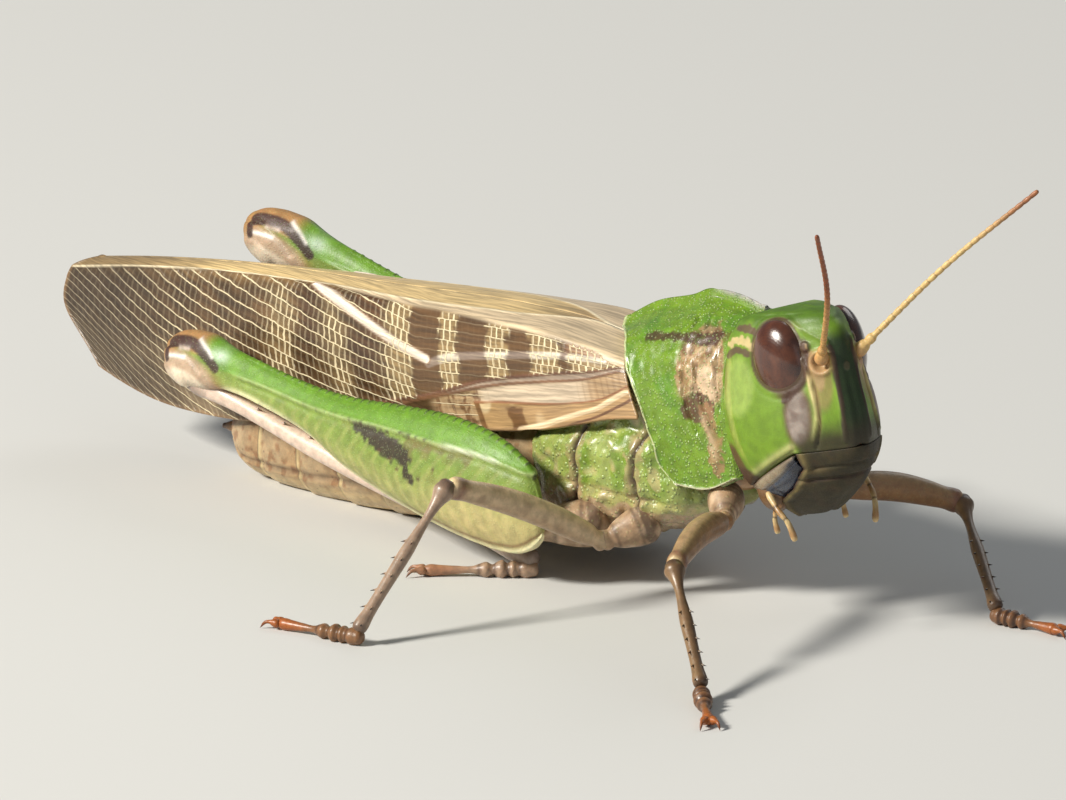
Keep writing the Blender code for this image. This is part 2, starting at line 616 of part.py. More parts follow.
def main():
    for item in list(bpy.data.objects):
        bpy.data.objects.remove(item)
    for group in ("locust", "cutters"):
        bpy.context.scene.collection.children.link(bpy.data.collections.new(group))
    green = material("leaf green cuticle", (0.24, 0.50, 0.06), 0.35)
    tan_look = material("tan cuticle", (0.55, 0.38, 0.24), 0.5)
    wing = material("wing membrane", (0.36, 0.26, 0.15), 0.55)
    pink = material("pinkish cream cuticle", (0.62, 0.45, 0.36), 0.45)
    legs = {
        "joint": tan_look,
        "femur": material("fawn leg", (0.50, 0.34, 0.20), 0.45),
        "hind_femur": material("green thigh", (0.30, 0.55, 0.10), 0.35),
        "tibia": pink,
        "tarsus": material("russet foot", (0.38, 0.16, 0.08), 0.45),
    }
    make_head(green)
    make_eyes(material("chestnut eye", (0.16, 0.05, 0.03), 0.15))
    make_mouth(material("olive lip", (0.45, 0.38, 0.18), 0.45), material("slate jaw", (0.25, 0.27, 0.32), 0.35))
    make_palps(tan_look)
    make_antennae(material("ochre feeler", (0.60, 0.33, 0.12), 0.5))
    make_pronotum(green)
    make_prothorax(tan_look)
    make_thorax(material("green flank", (0.33, 0.52, 0.12), 0.4))
    make_abdomen(pink)
    make_tail(tan_look)
    make_wings(wing)
    make_hind_wings(material("clear membrane", (0.55, 0.50, 0.40), 0.5))
    make_legs(legs)
    stand_on_origin()


main()
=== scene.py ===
"""Dresses the solids of a life-size migratory locust: cuticle, eyes, veined wings, feelers and feet.

Lengths are millimetres until a mesh is finished. Shapes are laid out in the animal's own frame: it
faces +X, its left side is +Y, and the origin is on the ground below the front of the shield's keel.
"""

from math import cos, pi, radians, sin

import bmesh
import bpy
import numpy as np
from mathutils import Matrix, Vector, noise


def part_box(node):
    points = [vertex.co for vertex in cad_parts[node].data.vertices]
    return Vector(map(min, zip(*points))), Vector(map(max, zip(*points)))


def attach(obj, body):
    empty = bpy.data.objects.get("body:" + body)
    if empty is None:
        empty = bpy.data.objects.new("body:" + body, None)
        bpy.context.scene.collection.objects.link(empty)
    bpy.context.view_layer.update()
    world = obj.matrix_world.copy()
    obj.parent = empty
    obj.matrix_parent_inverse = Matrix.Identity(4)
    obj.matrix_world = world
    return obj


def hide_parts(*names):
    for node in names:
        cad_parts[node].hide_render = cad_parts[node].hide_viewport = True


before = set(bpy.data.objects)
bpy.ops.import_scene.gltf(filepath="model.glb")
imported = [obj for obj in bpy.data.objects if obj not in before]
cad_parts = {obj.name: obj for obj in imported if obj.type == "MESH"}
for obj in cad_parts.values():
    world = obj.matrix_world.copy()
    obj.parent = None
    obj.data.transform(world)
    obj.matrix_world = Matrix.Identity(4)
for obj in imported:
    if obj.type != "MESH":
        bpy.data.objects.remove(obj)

bl_info = {
    "name": "Migratory Locust",
    "version": (1, 0, 0),
    "blender": (4, 5, 0),
    "location": "3D View > Sidebar > Locust",
    "description": "Builds the cuticle, eyes, wings, feelers and feet of a life-size locust",
    "category": "Add Mesh",
}

MM = 0.001
RIGHT, LEFT = -1, 1
SIDES = {RIGHT: "r", LEFT: "l"}
FLANK = 4.0
# Where run starts on spines and claws, past the 0 to 1 of the limb that they stand on.
THORN_RUN = 2

BODY_HEIGHT, BODY_PITCH, HEAD_TURN = 13.33, radians(12.7), radians(-17.5)
HEAD_AT = (0.15, -0.46, 0)
BODY = Matrix.Translation((0, 0, BODY_HEIGHT)) @ Matrix.Rotation(-BODY_PITCH, 4, "Y")
HEAD = BODY @ Matrix.Translation(HEAD_AT) @ Matrix.Rotation(HEAD_TURN, 4, "Z")

HEAD_TOP = 4.3
HEAD_FRONT = (
    (4.3, 4.4), (4.2, 5.75), (4.0, 6.6), (3.5, 7.35), (2.6, 7.85), (1.5, 8.05), (0, 8.2), (-1.5, 8.4),
    (-3, 8.4), (-4, 8.15), (-5, 7.4), (-6, 6.4), (-6.7, 5.2), (-7.3, 4.0), (-7.7, 3.0),
)
HEAD_BACK = (
    (4.3, 3.4), (4.2, 2.5), (4.0, 1.4), (3.4, 0.7), (1.5, 0.3), (-2, 0.2), (-4, 0.3), (-5.3, 0.3),
    (-6.2, 0.45), (-7.0, 1.0), (-7.7, 2.0),
)
HEAD_HALF_WIDTH = (
    (4.3, 0.4), (4.2, 1.5), (4.0, 2.1), (3.4, 2.7), (2.5, 3.15), (1.5, 3.4), (0, 3.75), (-1.5, 4.0),
    (-3, 4.0), (-4.2, 3.7), (-5.2, 3.2), (-6.2, 2.5), (-7.0, 1.85), (-7.7, 0.7),
)
HEAD_WIDEST, FACE_ROUNDNESS, NAPE_ROUNDNESS = 0.06, 1.8, 2.3
CAPSULE_END, CAPSULE_BEND, CAPSULE_SLOPE = -3.5, 5.6, 0.386
LABRUM_EDGE = ((-3.3, 5.75), (-4.4, 5.75), (-5.62, 4.1), (-6.42, 2.2), (-8.5, 1.9))
EYE_AT, EYE_LEAN, EYE_TURN = (4.6, 2.35, 1.6), radians(8), radians(18)
EYE_RADII, EYE_STEP = (1.88, 1.12, 2.32), Vector((0.04, -0.32, -0.05))
ANTENNA_AT = (7.5, 1.15, 1.5)
ANTENNA_SWEEP = {
    RIGHT: ((2.6, -2.45, 4.7), (6.0, -7.1, 9.6)),
    LEFT: ((4.0, 2.7, 5.1), (8.3, 5.4, 9.6)),
}

KEEL_LINE = (
    (-0.2, 0, 4.0), (-2.0, 0, 4.75), (-4.1, 0, 5.15), (-5.7, 0, 4.85), (-8.4, 0, 4.6), (-11.1, 0, 3.75),
)
PRONOTUM_LINES = (
    ((-0.2, 2.6, 2.95), (-4.5, 2.7, 3.3), (-8.9, 2.55, 3.05)),
    ((-0.4, 3.7, 1.5), (-4.0, 3.75, 1.6), (-8.0, 3.75, 1.55)),
    ((-0.5, 4.15, -0.6), (-3.6, 4.2, -0.6), (-7.0, 4.25, -0.4)),
    ((-0.6, 4.1, -3.0), (-3.3, 4.2, -3.1), (-6.4, 4.3, -2.7)),
    ((-0.75, 3.95, -4.2), (-3.2, 4.1, -4.45), (-6.25, 4.2, -3.95)),
    ((-0.9, 3.8, -4.9), (-3.1, 4.0, -5.45), (-5.35, 4.05, -5.1)),
)
# Trunk stations: (x at half height, lean in degrees, low, top, half width).
THORAX = (
    (-3.7, 12.7, 6.3, 11.6, 2.7), (-4.6, 26, 5.4, 12.0, 3.3), (-5.65, 31, 4.9, 12.3, 4.15),
    (-7.5, 28, 3.8, 12.6, 4.35), (-9.5, 22, 3.1, 12.75, 4.4), (-11.5, 15, 2.5, 12.7, 4.35),
    (-13.5, 7, 2.1, 12.4, 4.1), (-15.3, 0, 1.9, 11.8, 3.7),
)
PLEURA = (
    (0, 0), (0.03, 0.42), (0.1, 0.72), (0.24, 0.94), (0.42, 1), (0.56, 1), (0.625, 0.86), (0.8, 0.82),
    (0.93, 0.66), (1, 0),
)
PROTHORAX = ((-0.45, 2.2, 1.7, -3.9), (-1.8, 2.9, 1.9, -5.2), (-3.4, 3.15, 2.0, -6.3))
ABDOMEN_FRONT, ABDOMEN_BACK, ABDOMEN_RINGS, ABDOMEN_WAIST = -15.45, -40.9, 8, 0.4
ABDOMEN_LOW = (
    (-15.4, 1.8), (-19, 1.1), (-24, 0.35), (-28, -0.05), (-37.5, -0.1), (-39.2, 0.1), (-40.3, 0.7),
    (-40.9, 1.6),
)
ABDOMEN_TOP = ((-15.4, 11.2), (-19, 10.8), (-24, 9.6), (-30, 7.7), (-35, 6.2), (-38, 5.3), (-40.9, 3.9))
ABDOMEN_HALF_WIDTH = (
    (-15.4, 3.5), (-20, 3.2), (-26, 2.9), (-32, 2.7), (-37, 2.42), (-39.5, 2.05), (-40.9, 1.45),
)

WING_FRONT, WING_SHOULDER, DORSAL_SHARE, WING_RIDGE = -8.7, 2.0, 0.3, 0.35
WING_END = ((0, -52.5), (0.4, -54.35), (0.75, -53.95), (1, -51.2))
FOLD_HEIGHT = (
    (-8.7, 13.35), (-11.5, 13.6), (-14, 13.8), (-19, 13.6), (-25, 13.15), (-31, 12.65), (-37, 12.2),
    (-42.5, 11.6), (-48.6, 10.7), (-54.5, 9.6),
)
FOLD_HALF_WIDTH = (
    (-8.7, 3.2), (-12, 3.25), (-18, 3.1), (-23, 2.85), (-28, 2.45), (-33, 1.9), (-38, 1.35), (-44, 1.05),
    (-54.5, 0.95),
)
MARGIN_HEIGHT = (
    (-6.7, 10.6), (-8.7, 10.2), (-11, 9.45), (-14, 8.5), (-18, 7.6), (-24, 6.4), (-30, 5.2), (-36, 4.2),
    (-41, 3.5), (-46.5, 3.5), (-50.6, 4.25), (-54.5, 5.4),
)
MARGIN_HALF_WIDTH = (
    (-6.7, 4.4), (-11, 4.5), (-18, 4.15), (-24, 3.65), (-30, 3.25), (-36, 2.8), (-41, 2.4), (-46.5, 2.2),
    (-54.5, 1.4),
)

# Legs: hip, femur base, knee, ankle and tip of the foot.
FORE = {
    RIGHT: ((-1.4, -2.9, 6.6), (0.0, -4.5, 6.0), (3.1, -12.1, 5.65), (8.7, -16.0, 0.95), (12.3, -19.3, 0.32)),
    LEFT: ((-1.4, 2.9, 6.6), (0.2, 4.5, 6.0), (3.9, 10.85, 4.6), (10.8, 5.9, 0.95), (14.9, 6.5, 0.32)),
}
MIDDLE = {
    RIGHT: ((-7.0, -3.4, 4.2), (-8.4, -5.4, 3.3), (-11.5, -14.7, 7.9), (-12.1, -21.2, 0.95),
            (-17.6, -21.9, 0.32)),
    LEFT: ((-7.0, 3.4, 4.2), (-8.6, 5.4, 3.4), (-15.0, 11.8, 8.5), (-19.8, 16.4, 0.95), (-25.0, 18.5, 0.32)),
}
HIND = {
    RIGHT: ((-10.6, -3.7, 3.6), (-12.7, -5.5, 3.4), (-41.2, -4.5, 7.3), (-14.0, -5.0, 1.0),
            (-18.8, -9.1, 0.32)),
    LEFT: ((-10.6, 3.7, 3.6), (-12.7, 5.5, 3.6), (-43.3, 4.5, 12.3), (-17.5, 4.6, 1.0), (-23.1, 8.4, 0.32)),
}
FEMUR_BOW = (-0.25, 0, 0.4)
# Hind femur: (share of its length, above its axis, below its axis, half thickness).
HIND_FEMUR = (
    (-0.045, 1.5, 1.0, 0.45), (-0.02, 2.9, 1.6, 0.8), (0.03, 3.75, 2.05, 1.15), (0.1, 4.15, 2.25, 1.5),
    (0.22, 4.05, 2.3, 1.7), (0.38, 3.2, 2.0, 1.6), (0.52, 2.3, 1.45, 1.35), (0.61, 1.95, 0.65, 1.1),
    (0.72, 1.8, 0.3, 0.95), (0.86, 1.85, 0.45, 0.95), (0.95, 2.0, 1.35, 1.25), (1.0, 1.8, 1.55, 1.25),
    (1.045, 1.1, 1.0, 0.85),
)


def row_frame():
    """From the animal's frame in millimetres to the row frame in metres, found from the right eye's box."""
    low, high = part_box("eye_r")
    eye = HEAD @ Vector((EYE_AT[0], -EYE_AT[1], EYE_AT[2]))
    return Matrix.Translation((low + high) / 2 - eye * MM) @ Matrix.Scale(MM, 4)


ROW = row_frame()


# ---- Sizes and colours that a user may change ----


def colour(label, default):
    return bpy.props.FloatVectorProperty(
        name=label, description=label, subtype="COLOR", size=3, min=0, max=1, default=default,
    )


class LocustColours(bpy.types.PropertyGroup):
    """Base colours of the cuticle, before its marks and grain."""

    green: colour("Leaf green of head and shield", (0.135, 0.24, 0.010))
    deep_green: colour("Green in the shade of the crown", (0.05, 0.115, 0.004))
    pale_green: colour("Bloom on the cheek", (0.33, 0.42, 0.11))
    cream: colour("Cream borders and stripes", (0.72, 0.57, 0.28))
    tan: colour("Tan cuticle", (0.34, 0.18, 0.065))
    pink: colour("Pinkish cuticle", (0.62, 0.40, 0.24))
    umber: colour("Dark brown lines", (0.035, 0.012, 0.006))
    mauve: colour("Grey patch under the eye", (0.21, 0.165, 0.14))
    # Olive of the clypeus and labrum, darker than their own colour: painted shade, as the lips lie under the
    # face.
    olive: colour("Clypeus and labrum", (0.031, 0.023, 0.006))
    navy: colour("Jaw tips", (0.012, 0.025, 0.06))
    eye: colour("Eye", (0.078, 0.0203, 0.0078))
    orange: colour("Feelers and feet", (0.30, 0.08, 0.01))
    wing: colour("Wing membrane", (0.07, 0.038, 0.016))
    vein: colour("Wing veins", (0.80, 0.67, 0.43))


class LocustSizes(bpy.types.PropertyGroup):
    """Sizes of the fine parts in millimetres, and of the floor in metres."""

    spine: bpy.props.FloatProperty(
        name="Spine length", description="Spines of the hind shins", default=0.75, min=0.1, max=2,
    )
    vein: bpy.props.FloatProperty(
        name="Vein height", description="How far the main veins stand up", default=0.07, min=0, max=0.3,
    )
    floor: bpy.props.FloatProperty(
        name="Floor size", description="Side of the pale floor", default=1.6, min=0.2, max=5, unit="LENGTH",
    )


def shade(tone):
    """A colour, given by its values or by its name in the settings."""
    return np.array(getattr(bpy.context.scene.locust_colours, tone) if isinstance(tone, str) else tone)


# ---- Lines and marks ----


def along(keys, place):
    """Values at places of a smooth line through keys, each a (place, value) pair."""
    places, values = np.array(sorted(keys), float).T
    slopes = np.gradient(values, places)
    place = np.clip(place, places[0], places[-1])
    low = np.clip(np.searchsorted(places, place) - 1, 0, len(places) - 2)
    span = places[low + 1] - places[low]
    t = (place - places[low]) / span
    rise = values[low + 1] - values[low]
    bend = t * (1 - t) * ((1 - t) * (slopes[low] * span - rise) - t * (slopes[low + 1] * span - rise))
    return values[low] + rise * t + bend


def through(points, share):
    """Points at shares of the way along a smooth line through points, each fixed or one for each share."""
    stops = np.stack([np.broadcast_to(np.array(point, float), (len(share), 3)) for point in points])
    slopes = np.gradient(stops, axis=0)
    place = np.clip(share, 0, 1) * (len(points) - 1)
    low = np.clip(place.astype(int), 0, len(points) - 2)
    t, pick = (place - low)[:, None], np.arange(len(share))
    rise = stops[low + 1, pick] - stops[low, pick]
    bend = t * (1 - t) * ((1 - t) * (slopes[low, pick] - rise) - t * (slopes[low + 1, pick] - rise))
    return stops[low, pick] + rise * t + bend


def ramp(low, high, value):
    """0 at low and 1 at high, with soft ends; low may be the larger."""
    t = np.clip((value - low) / (high - low), 0, 1)
    return t * t * (3 - 2 * t)


def hump(value, middle, width):
    """1 at the middle, falling off on both sides."""
    return np.exp(-(((value - middle) / width) ** 2))


def distance(spots, route):
    """How far each spot lies from a smooth line through the route's points."""
    line = through(route, np.linspace(0, 1, 1 + (len(route) - 1) * (6 if len(route) > 2 else 1)))
    best = np.full(len(spots), 1e9)
    for start, end in zip(line, line[1:]):
        way = end - start
        share = np.clip((spots - start) @ way / (way @ way), 0, 1)
        best = np.minimum(best, np.linalg.norm(spots - start - share[:, None] * way, axis=1))
    return best


def stroke(spots, width, *route):
    """A soft line drawn through the route's points."""
    return np.exp(-((distance(spots, route) / width) ** 2))


def blot(spots, centre, radii):
    """A soft oval mark, 1 inside and 0 outside."""
    reach = np.linalg.norm((spots - np.array(centre)) / np.array(radii), axis=1)
    return 1 - ramp(0.75, 1.15, reach)


def cloud(spots, size):
    """Soft noise, about -1 to 1, whose lumps are a size across."""
    return 1.6 * np.array([noise.noise(spot) for spot in (spots / size).tolist()])


def ragged(mask, spots, size, depth=0.5):
    """A mark with a broken edge."""
    return ramp(0.35, 0.65, mask + depth * cloud(spots, size)) * ramp(0.05, 0.3, mask)


def painted(tint, *layers):
    """Lays colours over a tint in turn, each given as a (mask, tone) pair."""
    for mask, tone in layers:
        tint = tint + np.reshape(np.clip(mask, 0, 1), (-1, 1)) * (shade(tone) - tint)
    return tint


def plain(spots, tone):
    """One tone for every spot."""
    return np.tile(shade(tone), (len(spots), 1))


def folded(spots):
    """The spots of both sides, all laid on the left."""
    return np.stack([spots[:, 0], np.abs(spots[:, 1]), spots[:, 2]], -1)


def flattened(spots):
    """The spots of both sides, all laid on one upright plane, whose marks are given at y = FLANK."""
    return np.stack([spots[:, 0], np.full(len(spots), FLANK), spots[:, 2]], -1)


def moved(line, step):
    """A line's points, each moved by a step."""
    return [tuple(value + extra for value, extra in zip(point, step)) for point in line]


# ---- Meshes ----


def capping(u, head, tail):
    """Shares of the way along a closed body, and 1 along it that falls to 0 over its two ends."""
    share = np.clip((u - head) / (1 - head - tail), 0, 1)
    return share, np.clip(u / head, 0, 1) * np.clip((1 - u) / tail, 0, 1)


def rounded(wave, power):
    """A sine or cosine bent to a power, so that an oval grows squarer or slimmer."""
    return np.sign(wave) * np.abs(wave) ** power


def blank():
    """An empty shape with its UV map, and the two places on the skin that its points keep."""
    shape = bmesh.new()
    shape.loops.layers.uv.new("Skin")
    run, ring = (shape.verts.layers.float.new(name) for name in ("run", "ring"))
    return shape, run, ring


def sheet(surface, columns, rows, close=True):
    """A grid laid on surface(u, v), with its UV map, and u and v kept on its points as run and ring."""
    shape, run, ring = blank()
    bmesh.ops.create_grid(shape, x_segments=columns, y_segments=rows, size=0.5, calc_uvs=True)
    u, v = (np.array([vert.co for vert in shape.verts])[:, :2] + 0.5).T
    for vert, spot, a, b in zip(shape.verts, surface(u, v), u, v):
        vert.co = spot
        vert[run], vert[ring] = a, b
    if close:
        bmesh.ops.remove_doubles(shape, verts=shape.verts, dist=1e-4)
    bmesh.ops.recalc_face_normals(shape, faces=shape.faces)
    return shape


def facing(shape, way):
    """Turns an open sheet's faces towards a way."""
    if sum((face.normal @ way) * face.calc_area() for face in shape.faces) < 0:
        bmesh.ops.reverse_faces(shape, faces=shape.faces)
    return shape


def joined(*shapes):
    """One shape of several."""
    for extra in shapes[1:]:
        mesh = bpy.data.meshes.new("extra")
        extra.to_mesh(mesh)
        extra.free()
        shapes[0].from_mesh(mesh)
        bpy.data.meshes.remove(mesh)
    return shapes[0]


def thorn(start, tip, radius):
    """A spine. Its points keep run from THORN_RUN at the foot to THORN_RUN + 1 at the tip."""
    shape, run, _ = blank()
    bmesh.ops.create_cone(shape, cap_ends=True, segments=8, radius1=radius, radius2=radius * 0.08, depth=1)
    ends = [edge for edge in shape.edges if abs(edge.verts[0].co.z - edge.verts[1].co.z) > 0.5]
    bmesh.ops.subdivide_edges(shape, edges=ends, cuts=2)
    for vert in shape.verts:
        vert[run] = THORN_RUN + vert.co.z + 0.5
    turn = (tip - start).to_track_quat("Z", "Y").to_matrix().to_4x4()
    size = Matrix.Diagonal((1, 1, (tip - start).length, 1))
    bmesh.ops.transform(shape, matrix=Matrix.Translation((start + tip) / 2) @ turn @ size, verts=shape.verts)
    return shape


def read(mesh, name):
    """A layer of numbers kept on a mesh's points."""
    kept = np.empty(len(mesh.vertices))
    mesh.attributes[name].data.foreach_get("value", kept)
    return kept


def piece(shape, name, look, slot, *nodes, place=Matrix(), sculpt=None, paint=None, wall=0):
    """Makes the finished object: raised marks first, then the tint, then its place in the row frame."""
    mesh = bpy.data.meshes.new(name)
    shape.to_mesh(mesh)
    shape.free()
    spots = np.empty(len(mesh.vertices) * 3)
    mesh.vertices.foreach_get("co", spots)
    spots = spots.reshape(-1, 3)
    run, ring = read(mesh, "run"), read(mesh, "ring")
    if sculpt:
        normals = np.empty(spots.size)
        mesh.vertex_normals.foreach_get("vector", normals)
        spots = spots + normals.reshape(-1, 3) * sculpt(spots, run, ring)[:, None]
        mesh.vertices.foreach_set("co", spots.ravel())
    tint = paint(spots, run, ring) if paint else np.full((len(spots), 3), 0.5)
    kept = mesh.color_attributes.new(name="Tint", type="FLOAT_COLOR", domain="POINT")
    kept.data.foreach_set("color", np.clip(np.hstack([tint, np.ones((len(spots), 1))])[:, :4], 0, 1).ravel())
    mesh.transform(ROW @ place)
    mesh.shade_smooth()
    mesh.materials.append(look)
    made = bpy.data.objects.new(name, mesh)
    bpy.context.scene.collection.objects.link(made)
    if wall:
        blade = made.modifiers.new("wall", "SOLIDIFY")
        blade.thickness, blade.offset = wall * MM, -1
    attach(made, "root")
    if nodes:
        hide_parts(*nodes)
    return made


def sweep(route, sizes, flat=1.0, bow=(0, 0, 0)):
    """A limb's surface along a route; sizes are (share, radius) or (share, above, below, half width)."""
    sizes = [item if len(item) == 4 else (item[0], item[1], item[1], item[1] * flat) for item in sizes]
    low, high = sizes[0][0], sizes[-1][0]

    def surface(u, v):
        share = low + (high - low) * u
        inside = np.clip(share, 0, 1)
        centre = through(route, inside) + np.array(bow) * np.sin(pi * inside)[:, None]
        ahead = through(route, np.minimum(inside + 0.01, 1)) - through(route, np.maximum(inside - 0.01, 0))
        span = np.linalg.norm(np.diff(np.array(route, float), axis=0), axis=1).sum()
        way = ahead / np.linalg.norm(ahead, axis=1, keepdims=True)
        centre = centre + way * ((share - inside) * span)[:, None]
        across = np.cross(way, (0, 0, 1))
        across = across / np.linalg.norm(across, axis=1, keepdims=True)
        upward = np.cross(across, way)
        above, below, half = (along([(item[0], item[k]) for item in sizes], share) for k in (1, 2, 3))
        turn = 2 * pi * v
        reach = np.where(np.sin(turn) > 0, above, below) * np.sin(turn)
        return centre + across * (np.cos(turn) * half)[:, None] + upward * reach[:, None]

    return surface


def capped(sizes, length):
    """Adds round ends to (share, radius) sizes."""
    first, last = sizes[0][1], sizes[-1][1]
    ends = ((1.0, 0.0), (0.85, 0.53), (0.55, 0.835), (0.2, 0.98))
    head = [(-first * back * 0.7 / length, first * size) for back, size in ends]
    tail = [(1 + last * back * 0.7 / length, last * size) for back, size in reversed(ends)]
    return (*head, *sizes, *tail)


def line_between(start, end):
    """A straight route, with the middle point that a smooth line needs."""
    return start, (start + end) / 2, end


def limb(start, end, sizes, columns, rows, bow=(0, 0, 0), flat=1.0):
    """A limb's segment with round ends."""
    surface = sweep(line_between(start, end), capped(sizes, (end - start).length), flat, bow)
    return sheet(surface, columns, rows)


def ball(matrix):
    """A sphere laid out by a matrix; its points keep run from pole to pole and ring around it."""
    shape, run, ring = blank()
    bmesh.ops.create_uvsphere(shape, u_segments=96, v_segments=64, radius=1, calc_uvs=True)
    for vert in shape.verts:
        vert[run], vert[ring] = vert.co.z, vert.co.x
    bmesh.ops.transform(shape, matrix=matrix, verts=shape.verts)
    return shape


# ---- Materials ----


class Web:
    """A node tree in the making."""

    def __init__(self, tree):
        self.tree = tree

    def fit(self, node, inputs):
        """Links or sets a node's inputs."""
        for name, value in inputs.items():
            if isinstance(value, bpy.types.NodeSocket):
                self.tree.links.new(value, node.inputs[name])
            else:
                node.inputs[name].default_value = value
        return node

    def add(self, kind, inputs=(), **settings):
        """Adds a node, sets it up, and links or sets its inputs."""
        made = self.tree.nodes.new("ShaderNode" + kind)
        for name, value in settings.items():
            setattr(made, name, value)
        return self.fit(made, dict(inputs))

    def sum(self, operation, one, two, clamp=False):
        return self.add("Math", {0: one, 1: two}, operation=operation, use_clamp=clamp).outputs[0]

    def blend(self, share, one, two, kind="MIX"):
        made = self.add("Mix", {0: share, 6: one, 7: two}, data_type="RGBA", blend_type=kind)
        return made.outputs[2]

    def spread(self, value, low, high, to_low=0.0, to_high=1.0):
        inputs = {"Value": value, 1: low, 2: high, 3: to_low, 4: to_high}
        return self.add("MapRange", inputs, interpolation_type="SMOOTHSTEP").outputs[0]


def material(name, dress):
    """The named material, which dress(web, shader) fills in when it is first asked for."""
    made = bpy.data.materials.get(name)
    if not made:
        made = bpy.data.materials.new(name)
        made.use_nodes = True
        dress(Web(made.node_tree), made.node_tree.nodes["Principled BSDF"])
    return made


def millimetres(web):
    """Object coordinates in millimetres."""
    place = {0: web.add("TexCoord").outputs["Object"], "Scale": 1 / MM}
    return web.add("VectorMath", place, operation="SCALE").outputs[0]


def fine_cuticle():
    """The shared node group: mottling, raised grains with painted highlights on them, specks and fine
    roughness of an insect's skin.
    """
    kept = bpy.data.node_groups.get("Fine cuticle")
    if kept:
        return kept
    group = bpy.data.node_groups.new("Fine cuticle", "ShaderNodeTree")
    sockets = (
        ("Vector", "Vector", (0, 0, 0)), ("Colour", "Color", (0.5, 0.5, 0.5, 1)), ("Mottle", "Float", 0.3),
        ("Mottle scale", "Float", 1.5), ("Grains", "Float", 0.0), ("Grain scale", "Float", 3.0),
        ("Specks", "Float", 0.0), ("Gloss", "Float", 0.35),
    )
    for name, kind, value in sockets:
        socket = group.interface.new_socket(name, in_out="INPUT", socket_type="NodeSocket" + kind)
        socket.default_value = value
    for name, kind in (("Colour", "Color"), ("Roughness", "Float"), ("Height", "Float")):
        group.interface.new_socket(name, in_out="OUTPUT", socket_type="NodeSocket" + kind)
    web = Web(group)
    given = group.nodes.new("NodeGroupInput").outputs
    place = web.add("VectorMath", {0: given["Vector"], "Scale": 1 / MM}, operation="SCALE").outputs[0]
    blotch = web.add("TexNoise", {"Vector": place, "Scale": given["Mottle scale"], "Detail": 6.0,
                                  "Roughness": 0.6})
    lift = web.spread(blotch.outputs[0], 0.3, 0.7)
    light = web.sum("MULTIPLY_ADD", lift, given["Mottle"])
    light.node.inputs[2].default_value = 1.0
    light = web.sum("SUBTRACT", light, web.sum("MULTIPLY", given["Mottle"], 0.5))
    mottled = web.blend(1.0, given["Colour"], light, "MULTIPLY")
    cells = web.add("TexVoronoi", {"Vector": place, "Scale": given["Grain scale"], "Randomness": 0.9})
    grain_and_glint = web.sum("MULTIPLY", web.spread(cells.outputs["Distance"], 0.12, 0.42, 1.0, 0.0), given["Grains"])
    # Painted highlight: the grains are lightened towards pale green, standing for their glints.
    mottled = web.blend(web.sum("MULTIPLY", grain_and_glint, 0.26), mottled, (0.45, 0.58, 0.22, 1))
    dots = web.add("TexVoronoi", {"Vector": place, "Scale": 2.3, "Randomness": 1.0})
    chosen = web.sum("GREATER_THAN", web.add("SeparateColor", {0: dots.outputs["Color"]}).outputs[0], 0.55)
    dot = web.sum("MULTIPLY", web.spread(dots.outputs["Distance"], 0.1, 0.2, 1.0, 0.0), chosen)
    dot = web.sum("MULTIPLY", dot, given["Specks"])
    mottled = web.blend(dot, mottled, (0.07, 0.026, 0.014, 1))
    fine = web.add("TexNoise", {"Vector": place, "Scale": 14.0, "Detail": 3.0})
    rough = web.sum("ADD", given["Gloss"], web.sum("MULTIPLY", web.spread(fine.outputs[0], 0.3, 0.7), 0.16))
    height = web.sum("ADD", web.sum("MULTIPLY", fine.outputs[0], 0.012), web.sum("MULTIPLY", grain_and_glint, 0.032))
    height = web.sum("ADD", height, web.sum("MULTIPLY", blotch.outputs[0], 0.03))
    result = {"Colour": mottled, "Roughness": rough, "Height": height}
    web.fit(group.nodes.new("NodeGroupOutput"), result)
    return group


def cuticle(name, mottle, mottle_scale, gloss, coat, grains_and_glints=0.0, grain_scale=3.0, specks=0.0):
    """Insect skin: its own painted tint, worked over by the shared group."""

    def dress(web, shader):
        given = {
            "Vector": web.add("TexCoord").outputs["Object"],
            "Colour": web.add("Attribute", attribute_name="Tint").outputs["Color"],
            "Mottle": mottle, "Mottle scale": mottle_scale, "Grains": grains_and_glints, "Grain scale": grain_scale,
            "Specks": specks, "Gloss": gloss,
        }
        skin = web.add("Group", given, node_tree=fine_cuticle()).outputs
        relief = web.add("Bump", {"Strength": 1.0, "Distance": MM, "Height": skin["Height"]})
        web.fit(shader, {
            "Base Color": skin["Colour"], "Roughness": skin["Roughness"], "Normal": relief.outputs[0],
            "Coat Weight": coat, "Coat Roughness": 0.25,
            "Subsurface Weight": 0.06, "Subsurface Scale": 0.6 * MM,
        })

    return material(name, dress)


def eye_dress(web, shader):
    """Fine facets under a clear gloss."""
    place = millimetres(web)
    facets = web.add("TexVoronoi", {"Vector": place, "Scale": 16.0, "Randomness": 0.25}).outputs["Distance"]
    tint = web.add("Attribute", attribute_name="Tint").outputs["Color"]
    clouds = web.add("TexNoise", {"Vector": place, "Scale": 1.2, "Detail": 4.0})
    tone = web.blend(web.spread(clouds.outputs[0], 0.35, 0.7, 0.0, 0.3), tint, (0.22, 0.075, 0.035, 1))
    tone = web.blend(web.spread(facets, 0.25, 0.6, 0.0, 0.35), tone, (0.03, 0.01, 0.008, 1))
    relief = web.add("Bump", {"Strength": 0.5, "Distance": 0.01 * MM, "Height": facets})
    web.fit(shader, {
        "Base Color": tone, "Normal": relief.outputs[0], "Roughness": 0.22, "Coat Weight": 0.6,
        "Coat Roughness": 0.12,
    })


